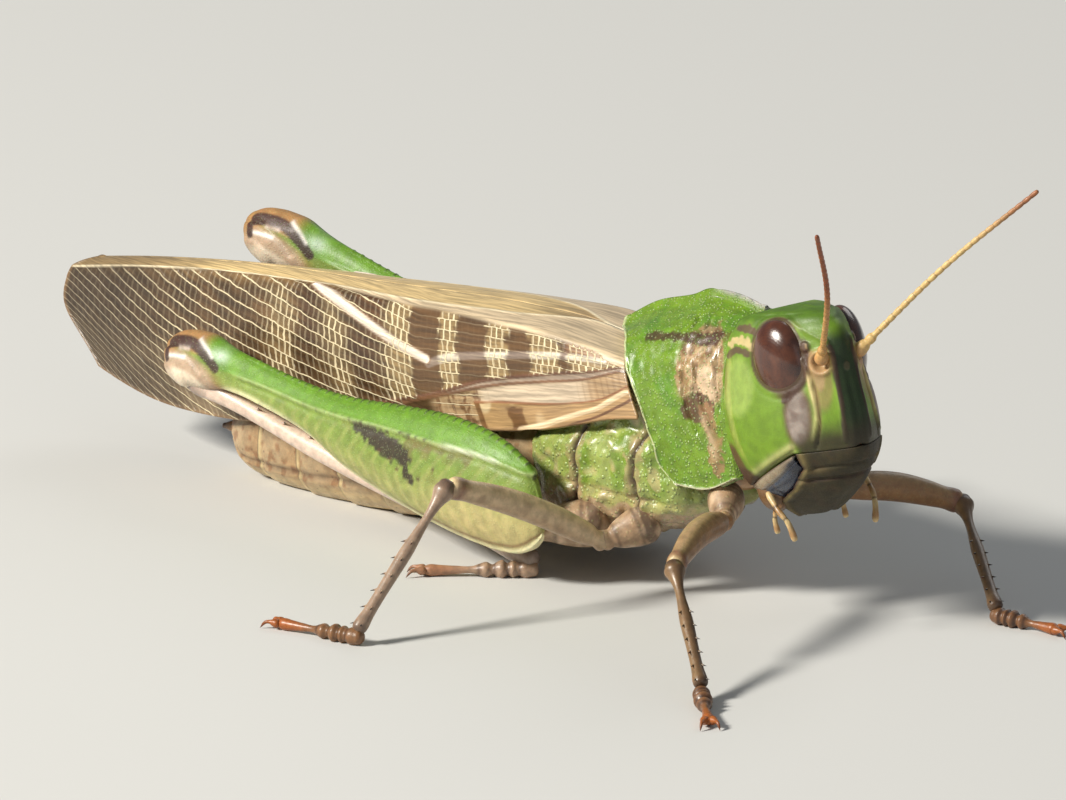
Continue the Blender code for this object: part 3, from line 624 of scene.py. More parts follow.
def wing_look(name, network):
    """Membrane with a net of fine veins laid out on the piece's own vein map; Tint's alpha fades the net."""

    def dress(web, shader):
        tint = web.add("Attribute", attribute_name="Tint").outputs
        # The vein map swayed by soft noise: one unit is one cell along, and one long vein across.
        sway = web.add("TexNoise", {"Vector": millimetres(web), "Scale": 1.1, "Detail": 2.0}).outputs["Color"]
        shift = web.add("VectorMath", {0: sway, 1: (0.5, 0.5, 0.5)}, operation="SUBTRACT").outputs[0]
        shift = web.add("VectorMath", {0: shift, 1: (0.9, 0.35, 0.0)}, operation="MULTIPLY").outputs[0]
        layout = web.add("VectorMath", {0: web.add("UVMap", uv_map="Veins").outputs[0], 1: shift}).outputs[0]
        way = web.add("SeparateXYZ", {0: layout}).outputs

        # Each row of cells starts at its own place and has some fainter cross veins.
        row = chance(web, web.sum("FLOOR", way[1], 0.0))
        step = web.sum("ADD", way[0], web.sum("MULTIPLY", row, 9.0))
        cell = chance(web, web.sum("ADD", web.sum("FLOOR", step, 0.0), row))
        long_vein = web.spread(from_middle(web, way[1]), 0.41, 0.47)
        cross = web.spread(from_middle(web, step), 0.29, 0.4)
        cross = web.sum("MULTIPLY", cross, web.spread(tint["Alpha"], 0.5, 1.0, 0.15, 1.0))
        cross = web.sum("MULTIPLY", cross, web.spread(cell, 0.0, 0.6, 0.3, 1.0))
        net = web.sum("MULTIPLY", web.sum("MAXIMUM", long_vein, cross), network)
        line = web.sum("MULTIPLY", net, web.spread(tint["Alpha"], 0.0, 0.5))

        fibres = web.add("VectorMath", {0: layout, 1: (0.14, 2.6, 0.0)}, operation="MULTIPLY").outputs[0]
        streaks = web.add("TexNoise", {"Vector": fibres, "Scale": 1.0, "Detail": 5.0}).outputs[0]
        membrane = web.blend(1.0, tint["Color"], web.spread(streaks, 0.3, 0.7, 0.66, 1.3), "MULTIPLY")
        membrane = web.blend(web.sum("MULTIPLY", line, 0.85), membrane, (*shade("vein"), 1))
        height = web.sum("ADD", web.sum("MULTIPLY", line, 0.05), web.sum("MULTIPLY", streaks, 0.03))
        relief = web.add("Bump", {"Strength": 1.0, "Distance": MM, "Height": height})
        web.fit(shader, {
            "Base Color": membrane, "Normal": relief.outputs[0], "Coat Weight": 0.1,
            "Roughness": web.spread(line, 0, 1, 0.34, 0.5),
        })

    return material(name, dress)


def chance(web, value):
    """The same random number for the same value."""
    return web.add("TexWhiteNoise", {"W": value}, noise_dimensions="1D").outputs["Value"]


def from_middle(web, value):
    """How far a value lies from the middle of its whole step, 0 to 0.5."""
    return web.sum("ABSOLUTE", web.sum("SUBTRACT", web.sum("FRACT", value, 0.0), 0.5), 0.0)


# ---- Head ----


def head_span(height):
    """The head's front, back, half width and widest place at a height."""
    front, back, half = (along(keys, height) for keys in (HEAD_FRONT, HEAD_BACK, HEAD_HALF_WIDTH))
    return front, back, half, back + (front - back) * HEAD_WIDEST


def head_skin(height, turn):
    """Points of the head's surface; turn 0 is the middle of the face."""
    front, back, half, widest = head_span(height)
    forward = np.cos(turn) >= 0
    power = np.where(forward, 2 / FACE_ROUNDNESS, 2 / NAPE_ROUNDNESS)
    x = rounded(np.cos(turn), power) * np.where(forward, front - widest, widest - back)
    y = rounded(np.sin(turn), power) * half
    fade = np.clip((HEAD_TOP - height) / 1.5, 0, 1) * np.clip((height + 5) / 1.5, 0, 1) * forward
    x = x + fade * (np.exp(-((y / 0.75) ** 4)) * 0.12 - hump(np.abs(y), 1.7, 0.7) * 0.2)
    return np.stack([widest + x, y, height], -1)


def capsule_surface(u, v):
    """The head's shell from the crown down to the lips and jaws: v goes round it from the nape."""
    turn = 2 * pi * (v - 0.5)
    end = np.full(len(v), CAPSULE_END)
    for _ in range(12):
        end = CAPSULE_END - CAPSULE_SLOPE * np.maximum(CAPSULE_BEND - head_skin(end, turn)[:, 0], 0)
    share, close = capping(u, 0.02, 0.08)
    skin = head_skin(HEAD_TOP - (HEAD_TOP - end) * share**1.35, turn)
    middle = np.array((4.2, 0, 0)) + np.outer(skin[:, 2], (0, 0, 1))
    middle[:, 2] += 0.8 * ramp(0.92, 1, u)
    return middle + (skin - middle) * close[:, None]


def socket_reach(near):
    """How far a spot lies from the middle of the nearer antenna's socket."""
    return np.linalg.norm(near - np.array((7.36, 1.12, 1.35)), axis=1)


def eye_reach(near):
    """How far out of the nearer eye a spot lies: 1 is its surface."""
    near = near - np.array(EYE_AT) - np.array(EYE_STEP)
    turn = Matrix.Rotation(-EYE_TURN, 4, "Z") @ Matrix.Rotation(-EYE_LEAN, 4, "Y")
    near = near @ np.array(turn.to_3x3())
    return np.linalg.norm(near / np.array(EYE_RADII), axis=1)


FACE_GROOVE = ((6.7, 1.55, 0.9), (7.15, 1.6, -0.6), (7.2, 1.72, -2), (6.9, 2.0, -3.3))
LIP_SEAM = ((8.3, 0, -3.4), (7.9, 1.2, -3.4), (6.6, 2.4, -3.4), (5.6, 2.9, -3.4))
FORE_OCELLUS, SIDE_OCELLUS = (8.05, 0, 1.0), (6.6, 1.55, 2.3)
COSTA_EDGE = (
    (7.6, 0.72, 2.4), (7.99, 0.68, 1.74), (8.05, 0.72, 0.53), (8.24, 0.77, -0.86), (8.31, 0.84, -1.91),
    (8.25, 0.88, -3.02),
)
CARINA = ((6.4, 1.75, 1.6), (6.69, 1.75, 0.91), (6.99, 1.77, -0.36), (7.15, 1.77, -1.48), (6.89, 2.05, -2.83))
VERTEX_EDGE = ((5.3, 1.6, 3.75), (5.72, 1.51, 3.51), (6.6, 1.2, 3.0), (7.45, 0.78, 2.52))
EYE_RIM = (
    (6.1, 1.85, 2.9), (6.4, 1.85, 2.1), (6.45, 1.95, 1.3), (6.35, 2.15, 0.5), (5.95, 2.5, -0.15),
    (5.5, 2.75, -0.45),
)
SUBOCULAR = ((5.75, 2.5, -0.2), (5.5, 2.93, -1.53), (5.75, 2.8, -3.3))
GENA_EDGE = ((5.6, 2.82, -3.45), (3.92, 3.24, -4.14), (1.78, 3.25, -4.98), (0.3, 2.6, -5.5))
NAPE_EDGE = ((1.15, 2.5, 3.0), (0.87, 3.4, 1.45), (0.95, 3.81, -0.43), (1.4, 3.98, -2.6), (1.75, 3.5, -4.2))


def head_relief(spots, run, ring):
    near = folded(spots)
    reach, socket = eye_reach(near), socket_reach(near)
    height = -0.03 * hump(reach, 1.06, 0.04) - 0.03 * hump(reach, 1.22, 0.06)
    height += 0.16 * hump(socket, 0.62, 0.16) - 0.3 * (1 - ramp(0.2, 0.55, socket))
    height += 0.14 * stroke(near, 0.16, *COSTA_EDGE) + 0.12 * stroke(near, 0.13, *CARINA)
    height += 0.09 * stroke(near, 0.14, *VERTEX_EDGE) - 0.1 * stroke(near, 0.12, *SUBOCULAR)
    height -= 0.1 * stroke(near, 0.1, (6.75, 1.6, 0.8), (7.15, 1.6, -0.6), (7.2, 1.72, -2), (6.9, 2.0, -3.3))
    height -= 0.12 * hump(near[:, 1], 0, 0.34) * ramp(6.5, 7.5, near[:, 0]) * ramp(2.6, 0.6, near[:, 2])
    height -= 0.02 * stroke(near, 0.09, *moved(LIP_SEAM, (0, 0, 0.12)))
    height += 0.07 * stroke(near, 0.16, *moved(GENA_EDGE, (-0.1, 0, 0.3)))
    height -= 0.09 * stroke(near, 0.09, *moved(GENA_EDGE, (0, 0, 0.08)))
    height += 0.08 * stroke(near, 0.15, *NAPE_EDGE)
    height -= 0.08 * stroke(near, 0.12, *moved(NAPE_EDGE, (0.35, 0, 0)))
    height += 0.1 * blot(near, SIDE_OCELLUS, (0.3, 0.3, 0.3))
    height += 0.05 * blot(spots, FORE_OCELLUS, (0.6, 0.22, 0.3))
    height -= 0.05 * hump(near[:, 1], 0, 0.06) * ramp(6.2, 5.4, near[:, 0]) * ramp(3.6, 4.0, near[:, 2])
    return height


def head_tint(spots, run, ring):
    near = folded(spots)
    reach, socket = eye_reach(near), socket_reach(near)
    x, y, z = near.T
    ahead = ramp(5.2, 6.0, x)
    cream = stroke(near, 0.3, (0.9, 3.0, 2.5), (1.7, 3.0, 2.8), (2.5, 2.9, 2.75), (3.2, 2.85, 2.4))
    above = stroke(near, 0.25, (1.5, 2.6, 3.4), (2.3, 2.6, 3.4), (3.0, 2.5, 3.2))
    beneath = stroke(near, 0.24, (1.0, 3.3, 2.0), (1.8, 3.2, 2.3), (2.8, 3.0, 2.1))
    rim = stroke(near, 0.3, *EYE_RIM)
    front = ramp(1.26, 1.16, reach) * ramp(4.5, 5.5, x) * ramp(3.0, 2.4, z)
    return painted(
        plain(spots, "green"),
        # The crown, the cheek's bloom, and the marks behind the eye.
        (0.8 * ramp(2.6, 4.0, z), "deep_green"),
        (0.35 * ramp(0.35, 0.9, cloud(spots, 2.2)), (0.19, 0.33, 0.01)),
        (0.5 * blot(near, (1.9, 3.6, 0.3), (1.5, 1.6, 1.7)), "pale_green"),
        (0.5 * blot(near, (5.6, 2.4, 3.4), (1.3, 1.2, 0.5)) * (1 - ramp(1.2, 1.35, reach)), "pale_green"),
        (0.75 * hump(reach, 1.05, 0.045) * (1 - ahead), (0.10, 0.07, 0.01)),
        (0.9 * ragged(cream, spots, 0.3, 0.4), (0.56, 0.43, 0.20)),
        (0.88 * ragged(np.maximum(above, beneath), spots, 0.35, 0.3), (0.09, 0.04, 0.028)),
        # The tan field below the antenna, and the grey patch under the eye, with painted light and shade on
        # its bulge.
        (0.85 * blot(near, (6.85, 1.6, 1.3), (0.5, 0.7, 0.9)), (0.24, 0.12, 0.05)),
        (0.75 * blot(near, (7.4, 1.3, 0.3), (0.6, 0.7, 1.7)), (0.25, 0.185, 0.06)),
        (0.8 * blot(near, (7.3, 1.4, 0.75), (0.32, 0.5, 1.0)), (0.38, 0.25, 0.12)),
        (0.9 * blot(near, (6.25, 2.5, -1.4), (0.95, 0.9, 1.85)), (0.15, 0.085, 0.05)),
        (0.9 * blot(near, (6.15, 2.55, -1.45), (0.75, 0.9, 1.6)), "mauve"),
        # Painted light and shade on the grey patch's bulge: lighter low in its middle and darker at its top,
        # broken by mottling.
        (0.6 * blot(near, (6.2, 2.5, -1.9), (0.5, 0.9, 1.0)) * ramp(-0.6, 0.4, cloud(spots, 0.6)),
         (0.36, 0.30, 0.26)),
        (0.5 * blot(near, (6.15, 2.55, -1.2), (0.8, 0.9, 1.8)) * ramp(0, 0.7, cloud(spots + 9, 0.45)),
         (0.11, 0.06, 0.045)),
        # Ridges and grooves of the face, and painted shade on the front of the face.
        (0.9 * stroke(near, 0.14, *CARINA), "cream"),
        (0.85 * stroke(near, 0.1, *FACE_GROOVE), (0.16, 0.08, 0.03)),
        # Painted shade: the front of the face beside the costa darkened to a near black green.
        (0.95 * ramp(0.8, 0.66, y) * ramp(7.0, 7.7, x) * ramp(3.4, 2.4, z), (0.008, 0.022, 0.004)),
        (0.97 * ramp(0.2, 0.13, distance(near, COSTA_EDGE)), (0.035, 0.016, 0.007)),
        (0.9 * stroke(near, 0.12, *VERTEX_EDGE), "umber"),
        (0.85 * stroke(near, 0.09, (5.2, 1.72, 3.62), (5.7, 1.62, 3.4)), "cream"),
        (0.8 * stroke(near, 0.11, *SUBOCULAR), (0.09, 0.05, 0.02)),
        # The three simple eyes, the antenna's socket, and the rim of the large eye.
        (0.9 * blot(near, SIDE_OCELLUS, (0.36, 0.36, 0.36)), "umber"),
        (0.9 * blot(near, SIDE_OCELLUS, (0.2, 0.2, 0.22)), (0.55, 0.36, 0.16)),
        (0.6 * blot(spots, FORE_OCELLUS, (0.6, 0.2, 0.26)), (0.12, 0.09, 0.04)),
        (0.8 * (1 - ramp(0.55, 0.95, socket)), (0.50, 0.30, 0.14)),
        (0.95 * np.maximum(ramp(0.3, 0.7, rim), front), (0.06, 0.022, 0.011)),
        (0.85 * ramp(1.1, 1.05, reach), (0.06, 0.03, 0.011)),
        # The face's lower edge, turning olive partly as its own colour and partly as painted shade, and the
        # borders of the cheek.
        (0.96 * ramp(-1.5, -3.0, z + 0.5 * ramp(7.4, 5.8, x)) * ramp(5.6, 6.2, x), "olive"),
        (0.85 * stroke(near, 0.24, *moved(GENA_EDGE, (-0.1, 0, 0.34))), (0.50, 0.44, 0.2)),
        (0.9 * stroke(near, 0.12, *GENA_EDGE), "umber"),
        (0.2 * stroke(near, 0.08, *LIP_SEAM), (0.05, 0.03, 0.01)),
        (0.9 * stroke(near, 0.1, *NAPE_EDGE), (0.13, 0.06, 0.012)),
        (0.5 * stroke(near, 0.12, *moved(NAPE_EDGE, (0.2, 0, 0))), (0.42, 0.42, 0.08)),
        # The shaded rear edge.
        (0.9 * ramp(0.45, 0.0, x) * ramp(2, 0, z), "umber"),
        (0.9 * blot(near, (0.9, 3.6, -4.0), (0.7, 1.0, 1.4)), (0.10, 0.04, 0.015)),
        (0.95 * blot(near, (0.9, 3.2, -5.0), (1.3, 1.4, 0.9)), (0.06, 0.025, 0.01)),
    )


def lip_surface(u, v):
    """Clypeus and labrum: the front of the head's surface below the capsule."""
    height = CAPSULE_END - 0.02 - u * 4.1
    edge = np.interp(-height, [-z for z, _ in LABRUM_EDGE], [x for _, x in LABRUM_EDGE])
    low, high = np.zeros(len(u)), np.full(len(u), pi)
    for _ in range(30):
        middle = (low + high) / 2
        inside = head_skin(height, middle)[:, 0] > edge
        low, high = np.where(inside, middle, low), np.where(inside, high, middle)
    return head_skin(height, (2 * v - 1) * np.maximum(low, 0.02))


def lip_relief(spots, run, ring):
    _, y, z = folded(spots).T
    height = -0.01 * ramp(0.06, 0.0, run) - 0.15 * hump(z, -5.15, 0.11)
    height -= 0.1 * hump(z, -4.45, 0.1) * (y < 2.2)
    height += 0.1 * hump(np.abs(ring - 0.5), 0.46, 0.03) - 0.08 * hump(y, 0, 0.25) * ramp(-5.2, -6.5, z)
    return height - 0.25 * ramp(0.93, 1, run)


def lip_tint(spots, run, ring):
    _, y, z = folded(spots).T
    rim = np.abs(2 * ring - 1)
    return painted(
        # The lips' olive ground, darkened as painted shade under the face.
        plain(spots, "olive"),
        (0.4 * hump(z, -4.6, 0.16) * ramp(1.2, 2.0, y), (0.20, 0.14, 0.055)),
        (0.6 * hump(z, -5.2, 0.09), "umber"),
        (0.6 * hump(rim, 0.93, 0.06), (0.17, 0.13, 0.045)),
        (0.5 * ramp(-5.3, -5.8, z) * ramp(0.95, 0.6, rim), (0.035, 0.027, 0.008)),
        (0.3 * ramp(0.1, 0.8, cloud(spots, 0.8)), (0.06, 0.03, 0.01)),
        (0.85 * ramp(0.965, 1, rim), "umber"),
    )


def side_y(x, height):
    """The half width of the head's front part at a reach and a height."""
    front, _, half, widest = head_span(height)
    share = np.clip((x - widest) / (front - widest), 0, 1) ** (FACE_ROUNDNESS / 2)
    return half * (1 - share**2) ** (1 / FACE_ROUNDNESS)


def jaw_surface(side):
    top = ((5.5, 0, -3.62), (3.9, 0, -4.25), (1.9, 0, -5.02), (0.9, 0, -5.42))
    low = ((5.5, 0, -4.42), (4.0, 0, -5.55), (2.3, 0, -6.3), (1.0, 0, -6.35))

    def surface(u, v):
        spot = through(top, u) * (1 - v)[:, None] + through(low, u) * v[:, None]
        spot[:, 1] = side * (side_y(spot[:, 0], spot[:, 2]) - 0.25 * v**2)
        return spot

    return surface


def jaw_relief(spots, run, ring):
    height = 0.16 * np.sin(pi * ring) * np.sin(pi * run) ** 0.5
    return height - 0.06 * hump(ring, 0.42, 0.06) - 0.05 * hump(run, 0.55, 0.04)


def jaw_tint(spots, run, ring):
    return painted(
        plain(spots, (0.30, 0.24, 0.16)),
        (ramp(0.22, 0.5, ring), (0.045, 0.06, 0.09)),
        (ramp(0.55, 0.8, ring), "navy"),
        (0.95 * ramp(0.26, 0.08, run) * ramp(0.0, 0.3, ring), (0.006, 0.01, 0.025)),
        (0.85 * ramp(0.08, 0.0, ring), "umber"),
        (0.6 * ramp(0.7, 0.95, run), (0.10, 0.07, 0.05)),
    )


def eye_tint(spots, run, ring):
    return painted(
        plain(spots, "eye"),
        (0.5 * (0.5 + 0.5 * np.sin(spots[:, 0] * 9)), (0.045, 0.012, 0.006)),
        # Painted shade: the front of the eye darkened towards black.
        (0.85 * ramp(0.25, 0.85, ring), (0.018, 0.006, 0.004)),
    )


class LOCUST_OT_head(bpy.types.Operator):
    """Add the head capsule, the lips, the jaws and the eyes"""

    bl_idname = "locust.head"
    bl_label = "Head"

    def execute(self, context):
        green = cuticle("green head surface", mottle=0.3, mottle_scale=1.3, gloss=0.45, coat=0.04)
        piece(sheet(capsule_surface, 180, 300), "head_shell", green, "green_cuticle", "head",
              place=HEAD, sculpt=head_relief, paint=head_tint)
        lip = facing(sheet(lip_surface, 90, 150), Vector((1, 0, 0)))
        look = cuticle("olive lip surface", mottle=0.5, mottle_scale=1.6, gloss=0.6, coat=0.02)
        piece(lip, "lips", look, "olive_lip", "labrum", place=HEAD, sculpt=lip_relief, paint=lip_tint,
              wall=0.3)
        slate = cuticle("slate jaw surface", mottle=0.5, mottle_scale=1.2, gloss=0.2, coat=0.5)
        for side, letter in SIDES.items():
            jaw = facing(sheet(jaw_surface(side), 70, 40), Vector((0, side, 0)))
            piece(jaw, "jaw_" + letter, slate, "slate_jaw", "mandible_" + letter, place=HEAD,
                  sculpt=jaw_relief, paint=jaw_tint, wall=0.5)
            turn = Matrix.Rotation(-EYE_TURN * side, 4, "Z") @ Matrix.Rotation(-EYE_LEAN, 4, "Y")
            middle = Vector(EYE_AT) + EYE_STEP
            middle.y *= side
            spot = Matrix.Translation(middle) @ turn @ Matrix.Diagonal((*EYE_RADII, 1))
            look = material("chestnut eye surface", eye_dress)
            piece(ball(spot), "eyeball_" + letter, look, "chestnut_eye", "eye_" + letter, place=HEAD,
                  paint=eye_tint)
        return {"FINISHED"}


# ---- Feelers and mouthparts ----


# The antenna's lash: where it starts past the two thick base joints, and its rings.
LASH_START, LASH_RINGS = 0.1, 23


def antenna_shape(side):
    """Two thick base joints, then the ringed lash."""
    base = HEAD @ Vector((ANTENNA_AT[0], ANTENNA_AT[1] * side, ANTENNA_AT[2]))
    route = (base, *(base + Vector(step) for step in ANTENNA_SWEEP[side]))
    stops = [(0, 0.36), (0.03, 0.38), (0.05, 0.3), (0.056, 0.25), (0.07, 0.28), (0.09, 0.25), (0.097, 0.19)]
    step = (1 - LASH_START) / LASH_RINGS
    for i in range(LASH_RINGS):
        start = LASH_START + i * step
        size = 0.17 - 0.045 * i / (LASH_RINGS - 1)
        stops += [(start + step * share, size * part) for share, part in ((0.1, 1), (0.8, 1.02), (0.97, 0.9))]
    ends = [(stops[0][0] - 0.012, 0.2), (stops[0][0] - 0.016, 0.0)]
    tips = [(1.003, 0.08), (1.006, 0.0)]
    return sheet(sweep(route, ends + stops + tips), 420, 20)


# Tones of the antenna's base and tip, and where it starts to darken.
ANTENNA_TONES = {
    RIGHT: ((0.50, 0.28, 0.09), (0.24, 0.06, 0.018), 0.25),
    LEFT: ((0.62, 0.42, 0.16), (0.30, 0.11, 0.04), 0.6),
}


def antenna_tint(side):
    def paint(spots, run, ring):
        base, tip, start = ANTENNA_TONES[side]
        rings = np.cos(2 * pi * (run - LASH_START) / (1 - LASH_START) * LASH_RINGS)
        return painted(
            plain(spots, base),
            (ramp(start, start + 0.35, run), tip),
            (0.35 * ramp(0.86, 1, rings) * (run > LASH_START), "umber"),
            (0.5 * hump(run, 0.02, 0.03), (0.45, 0.22, 0.10)),
        )

    return paint


LONG_PALP = ((2.4, 3.0, -5.8), (3.2, 3.0, -6.7), (3.75, 2.8, -7.45), (3.85, 2.6, -8.4))
SHORT_PALP = ((1.0, 1.9, -6.2), (1.3, 2.1, -6.9), (1.2, 2.2, -7.5), (1.3, 2.2, -8.2))
MAXILLA = ((1.3, 1.9, -4.9), (1.5, 2.0, -5.8), (2.0, 1.5, -6.8))


def palp_shape(side, route, size):
    route = [(x, y * side, z) for x, y, z in route]
    shares = (
        (-0.04, 0.0), (-0.03, 0.6), (0, 0.9), (0.2, 1.0), (0.28, 0.86), (0.34, 0.98), (0.5, 1.0),
        (0.57, 0.84), (0.63, 0.95), (0.8, 1.05), (0.92, 1.2), (1.0, 1.0), (1.03, 0.6), (1.04, 0.0),
    )
    return sheet(sweep(route, [(share, radius * size) for share, radius in shares]), 90, 24)


def maxilla_tint(spots, run, ring):
    return painted(plain(spots, "tan"), (0.6, "umber"))


def palp_tint(spots, run, ring):
    return painted(
        plain(spots, "tan"),
        (0.35 + 0.3 * np.sin(pi * 4 * run), "cream"),
        *((0.75 * hump(run, joint, 0.025), "umber") for joint in (0.29, 0.57)),
        (0.5 * ramp(0.88, 1.0, run), "cream"),
    )


class LOCUST_OT_feelers(bpy.types.Operator):
    """Add the antennae, the palps and the mouthparts behind the jaws"""

    bl_idname = "locust.feelers"
    bl_label = "Feelers"

    def execute(self, context):
        feeler = cuticle("feeler surface", mottle=0.35, mottle_scale=3.0, gloss=0.42, coat=0.1)
        tan = cuticle("palp surface", mottle=0.4, mottle_scale=2.5, gloss=0.36, coat=0.3)
        for side, letter in SIDES.items():
            piece(antenna_shape(side), "feeler_" + letter, feeler, "ochre_feeler", "antenna_" + letter,
                  paint=antenna_tint(side))
            palps = joined(palp_shape(side, LONG_PALP, 0.16), palp_shape(side, SHORT_PALP, 0.14))
            piece(palps, "palps_" + letter, tan, "tan_cuticle", "palp_" + letter, place=HEAD, paint=palp_tint)
            lobe = [(x, y * side, z) for x, y, z in MAXILLA]
            sizes = ((-0.15, 0), (-0.1, 0.5), (0, 0.85), (0.4, 1.0), (0.8, 0.85), (0.97, 0.4), (1.0, 0))
            piece(sheet(sweep(lobe, sizes), 50, 30), "maxilla_" + letter, tan, "tan_cuticle", place=HEAD,
                  paint=maxilla_tint)
        return {"FINISHED"}


# ---- Trunk ----


# How much of the way down from the middle of the back the keel takes up.
KEEL_SHARE = 0.07


def pronotum_surface(u, v):
    """The shield: u runs back and v from the left lower edge over the keel to the right one."""
    side, down = np.sign(0.5 - v), np.abs(2 * v - 1)
    keel = through(KEEL_LINE, u)
    foot = keel * (0.995, 0, 1) + np.array((0, 0.42, -0.5))
    lines = [foot] + [through(line, u) for line in PRONOTUM_LINES]
    share = np.clip((down - KEEL_SHARE) / (1 - KEEL_SHARE), 0, 1)
    flank = through(lines, share**0.9)
    crest = np.clip(down / KEEL_SHARE, 0, 1)[:, None]
    spot = keel * (1 - crest) + flank * crest
    spot[:, 1] *= side
    return spot


SULCI = (
    ((-1.15, 2.2, 3.0), (-1.1, 3.1, 2.3), (-1.15, 4.0, 0.6), (-1.0, 4.1, -0.9)),
    ((-2.7, 2.0, 3.6), (-2.75, 2.6, 3.0), (-2.6, 3.9, 0.9), (-2.3, 4.2, -0.6), (-1.9, 4.2, -2.0)),
    ((-3.7, 1.8, 3.9), (-3.75, 2.7, 3.0), (-3.7, 3.9, 0.9), (-3.55, 4.2, -0.6), (-3.0, 4.2, -2.2)),
)


def pronotum_relief(spots, run, ring):
    near = folded(spots)
    down = np.abs(2 * ring - 1)
    height = 0.07 * ramp(0.965, 0.99, down) + 0.06 * ramp(0.97, 0.99, run) + 0.08 * ramp(0.03, 0.0, run)
    height += 0.05 * cloud(spots, 0.55) * ramp(-0.5, -1.5, near[:, 0]) * ramp(0.1, 0.2, down)
    for line in SULCI:
        height -= 0.17 * stroke(near, 0.14, *line)
    height -= 0.05 * hump(near[:, 0], -3.6, 0.3) * ramp(0.2, 0.05, down)
    height += 0.09 * blot(near, (-1.9, 3.9, 1.0), (0.7, 1.0, 1.1))
    height += 0.09 * blot(near, (-3.1, 4.0, 0.7), (0.35, 1.0, 1.4))
    return height - 0.07 * blot(near, (-1.7, 4.1, -2.6), (0.9, 1.0, 0.6))


def pronotum_tint(spots, run, ring):
    near, flat = folded(spots), flattened(spots)
    x, down = spots[:, 0], np.abs(2 * ring - 1)
    flecks = cloud(spots, 0.45)
    tan_area = blot(flat, (-2.35, 4, 1.15), (1.9, 1, 2.4))
    stripe = stroke(flat, 0.6, (-2.0, 4, -0.9), (-1.9, 4, -2.2), (-1.85, 4, -3.4), (-2.0, 4, -4.3))
    ahead = stroke(flat, 0.36, (-1.4, 4, 2.75), (-3.4, 4, 2.9))
    behind = stroke(flat, 0.24, (-3.2, 4, 2.9), (-5, 4, 3.05), (-7.0, 4, 3.1))
    return painted(
        plain(spots, "green"),
        (0.4 * ramp(0, 0.8, cloud(spots, 1.4)), (0.06, 0.22, 0.01)),
        # The marbled tan field and the stripe that runs down from it.
        (0.9 * ragged(tan_area, spots, 0.35, 0.35), (0.30, 0.17, 0.08)),
        (0.8 * tan_area * ramp(-0.3, 0.5, flecks), (0.56, 0.38, 0.22)),
        (0.6 * tan_area * ramp(0.25, 0.7, cloud(spots, 0.25)), (0.20, 0.09, 0.045)),
        (0.7 * blot(flat, (-1.9, 4, 0.4), (0.9, 1, 1.2)), (0.72, 0.53, 0.35)),
        (0.6 * blot(flat, (-2.2, 4, 2.6), (2.2, 1, 0.7)) * ramp(-0.4, 0.5, cloud(spots, 0.5)),
         (0.10, 0.045, 0.02)),
        (0.92 * ragged(blot(flat, (-2.6, 4, -0.85), (1.35, 1, 0.9)), spots, 0.35, 0.3), (0.09, 0.036, 0.014)),
        (0.85 * ragged(stripe, spots, 0.3, 0.35), (0.30, 0.165, 0.075)),
        (0.6 * stroke(flat, 0.22, (-2.35, 4, -1.4), (-2.1, 4, -2.6), (-2.0, 4, -3.6)), (0.62, 0.45, 0.27)),
        (0.9 * ragged(np.maximum(ahead, behind), spots, 0.4, 0.3), (0.055, 0.022, 0.01)),
        # The green front edge, a painted highlight along the keel, the grooves, and the rims.
        (0.6 * ramp(-0.75, -0.4, x), "green"),
        # Painted highlight: a whitish violet glint along the front of the keel.
        (0.8 * ramp(0.045, 0.0, down) * ramp(-4.2, -2.5, x), (0.50, 0.44, 0.46)),
        (0.35 * ramp(0.2, 0.9, flecks) * ramp(-0.6, -2, x), (0.06, 0.15, 0.006)),
        *((0.6 * stroke(near, 0.09, *line), (0.06, 0.04, 0.012)) for line in SULCI),
        (0.8 * ramp(0.98, 0.99, down), (0.66, 0.60, 0.44)),
        (0.85 * ramp(0.98, 0.99, run) * ramp(1.1, 0.9, down), (0.52, 0.55, 0.30)),
    )


def trunk_surface(stations, profile):
    """A trunk through stations, each (x, lean, low, top, half width): u runs back and v around."""
    steps = [[(i, station[k]) for i, station in enumerate(stations)] for k in range(5)]

    def surface(u, v):
        place, close = capping(u, 0.03, 0.03)
        middle, lean, low, top, half = (along(keys, place * (len(stations) - 1)) for keys in steps)
        side = np.where(v < 0.5, 1, -1)
        share = 0.5 - 0.5 * np.cos(2 * pi * v)
        height = low + (top - low) * share
        level = (low + top) / 2
        height = level + (height - level) * close
        back = middle - (height - level) * np.tan(np.radians(lean))
        return np.stack([back, side * along(profile, share) * half * close, height], -1)

    return surface


SUTURES = (
    ((-6.4, 4, 11.6), (-6.61, 4, 9.87), (-7.2, 4, 7.44), (-7.0, 4, 5.6), (-7.4, 4, 4.4)),
    ((-10.8, 4, 11.6), (-11.2, 4, 9.5), (-11.6, 4, 7.6), (-11.5, 4, 5.8), (-11.9, 4, 3.6)),
)


def thorax_relief(spots, run, ring):
    near = flattened(spots)
    height = 0.1 * cloud(spots, 0.7) + 0.1 * cloud(near, 1.6)
    for line in SUTURES:
        height -= 0.26 * stroke(near, 0.17, *line)
    for x in (-6.4, -9.3, -12.2):
        height += 0.18 * blot(near, (x, 4, 4.9), (1.0, 1, 0.8))
        height -= 0.14 * hump(near[:, 2], 5.75, 0.16) * hump(near[:, 0], x, 1.3)
    return height


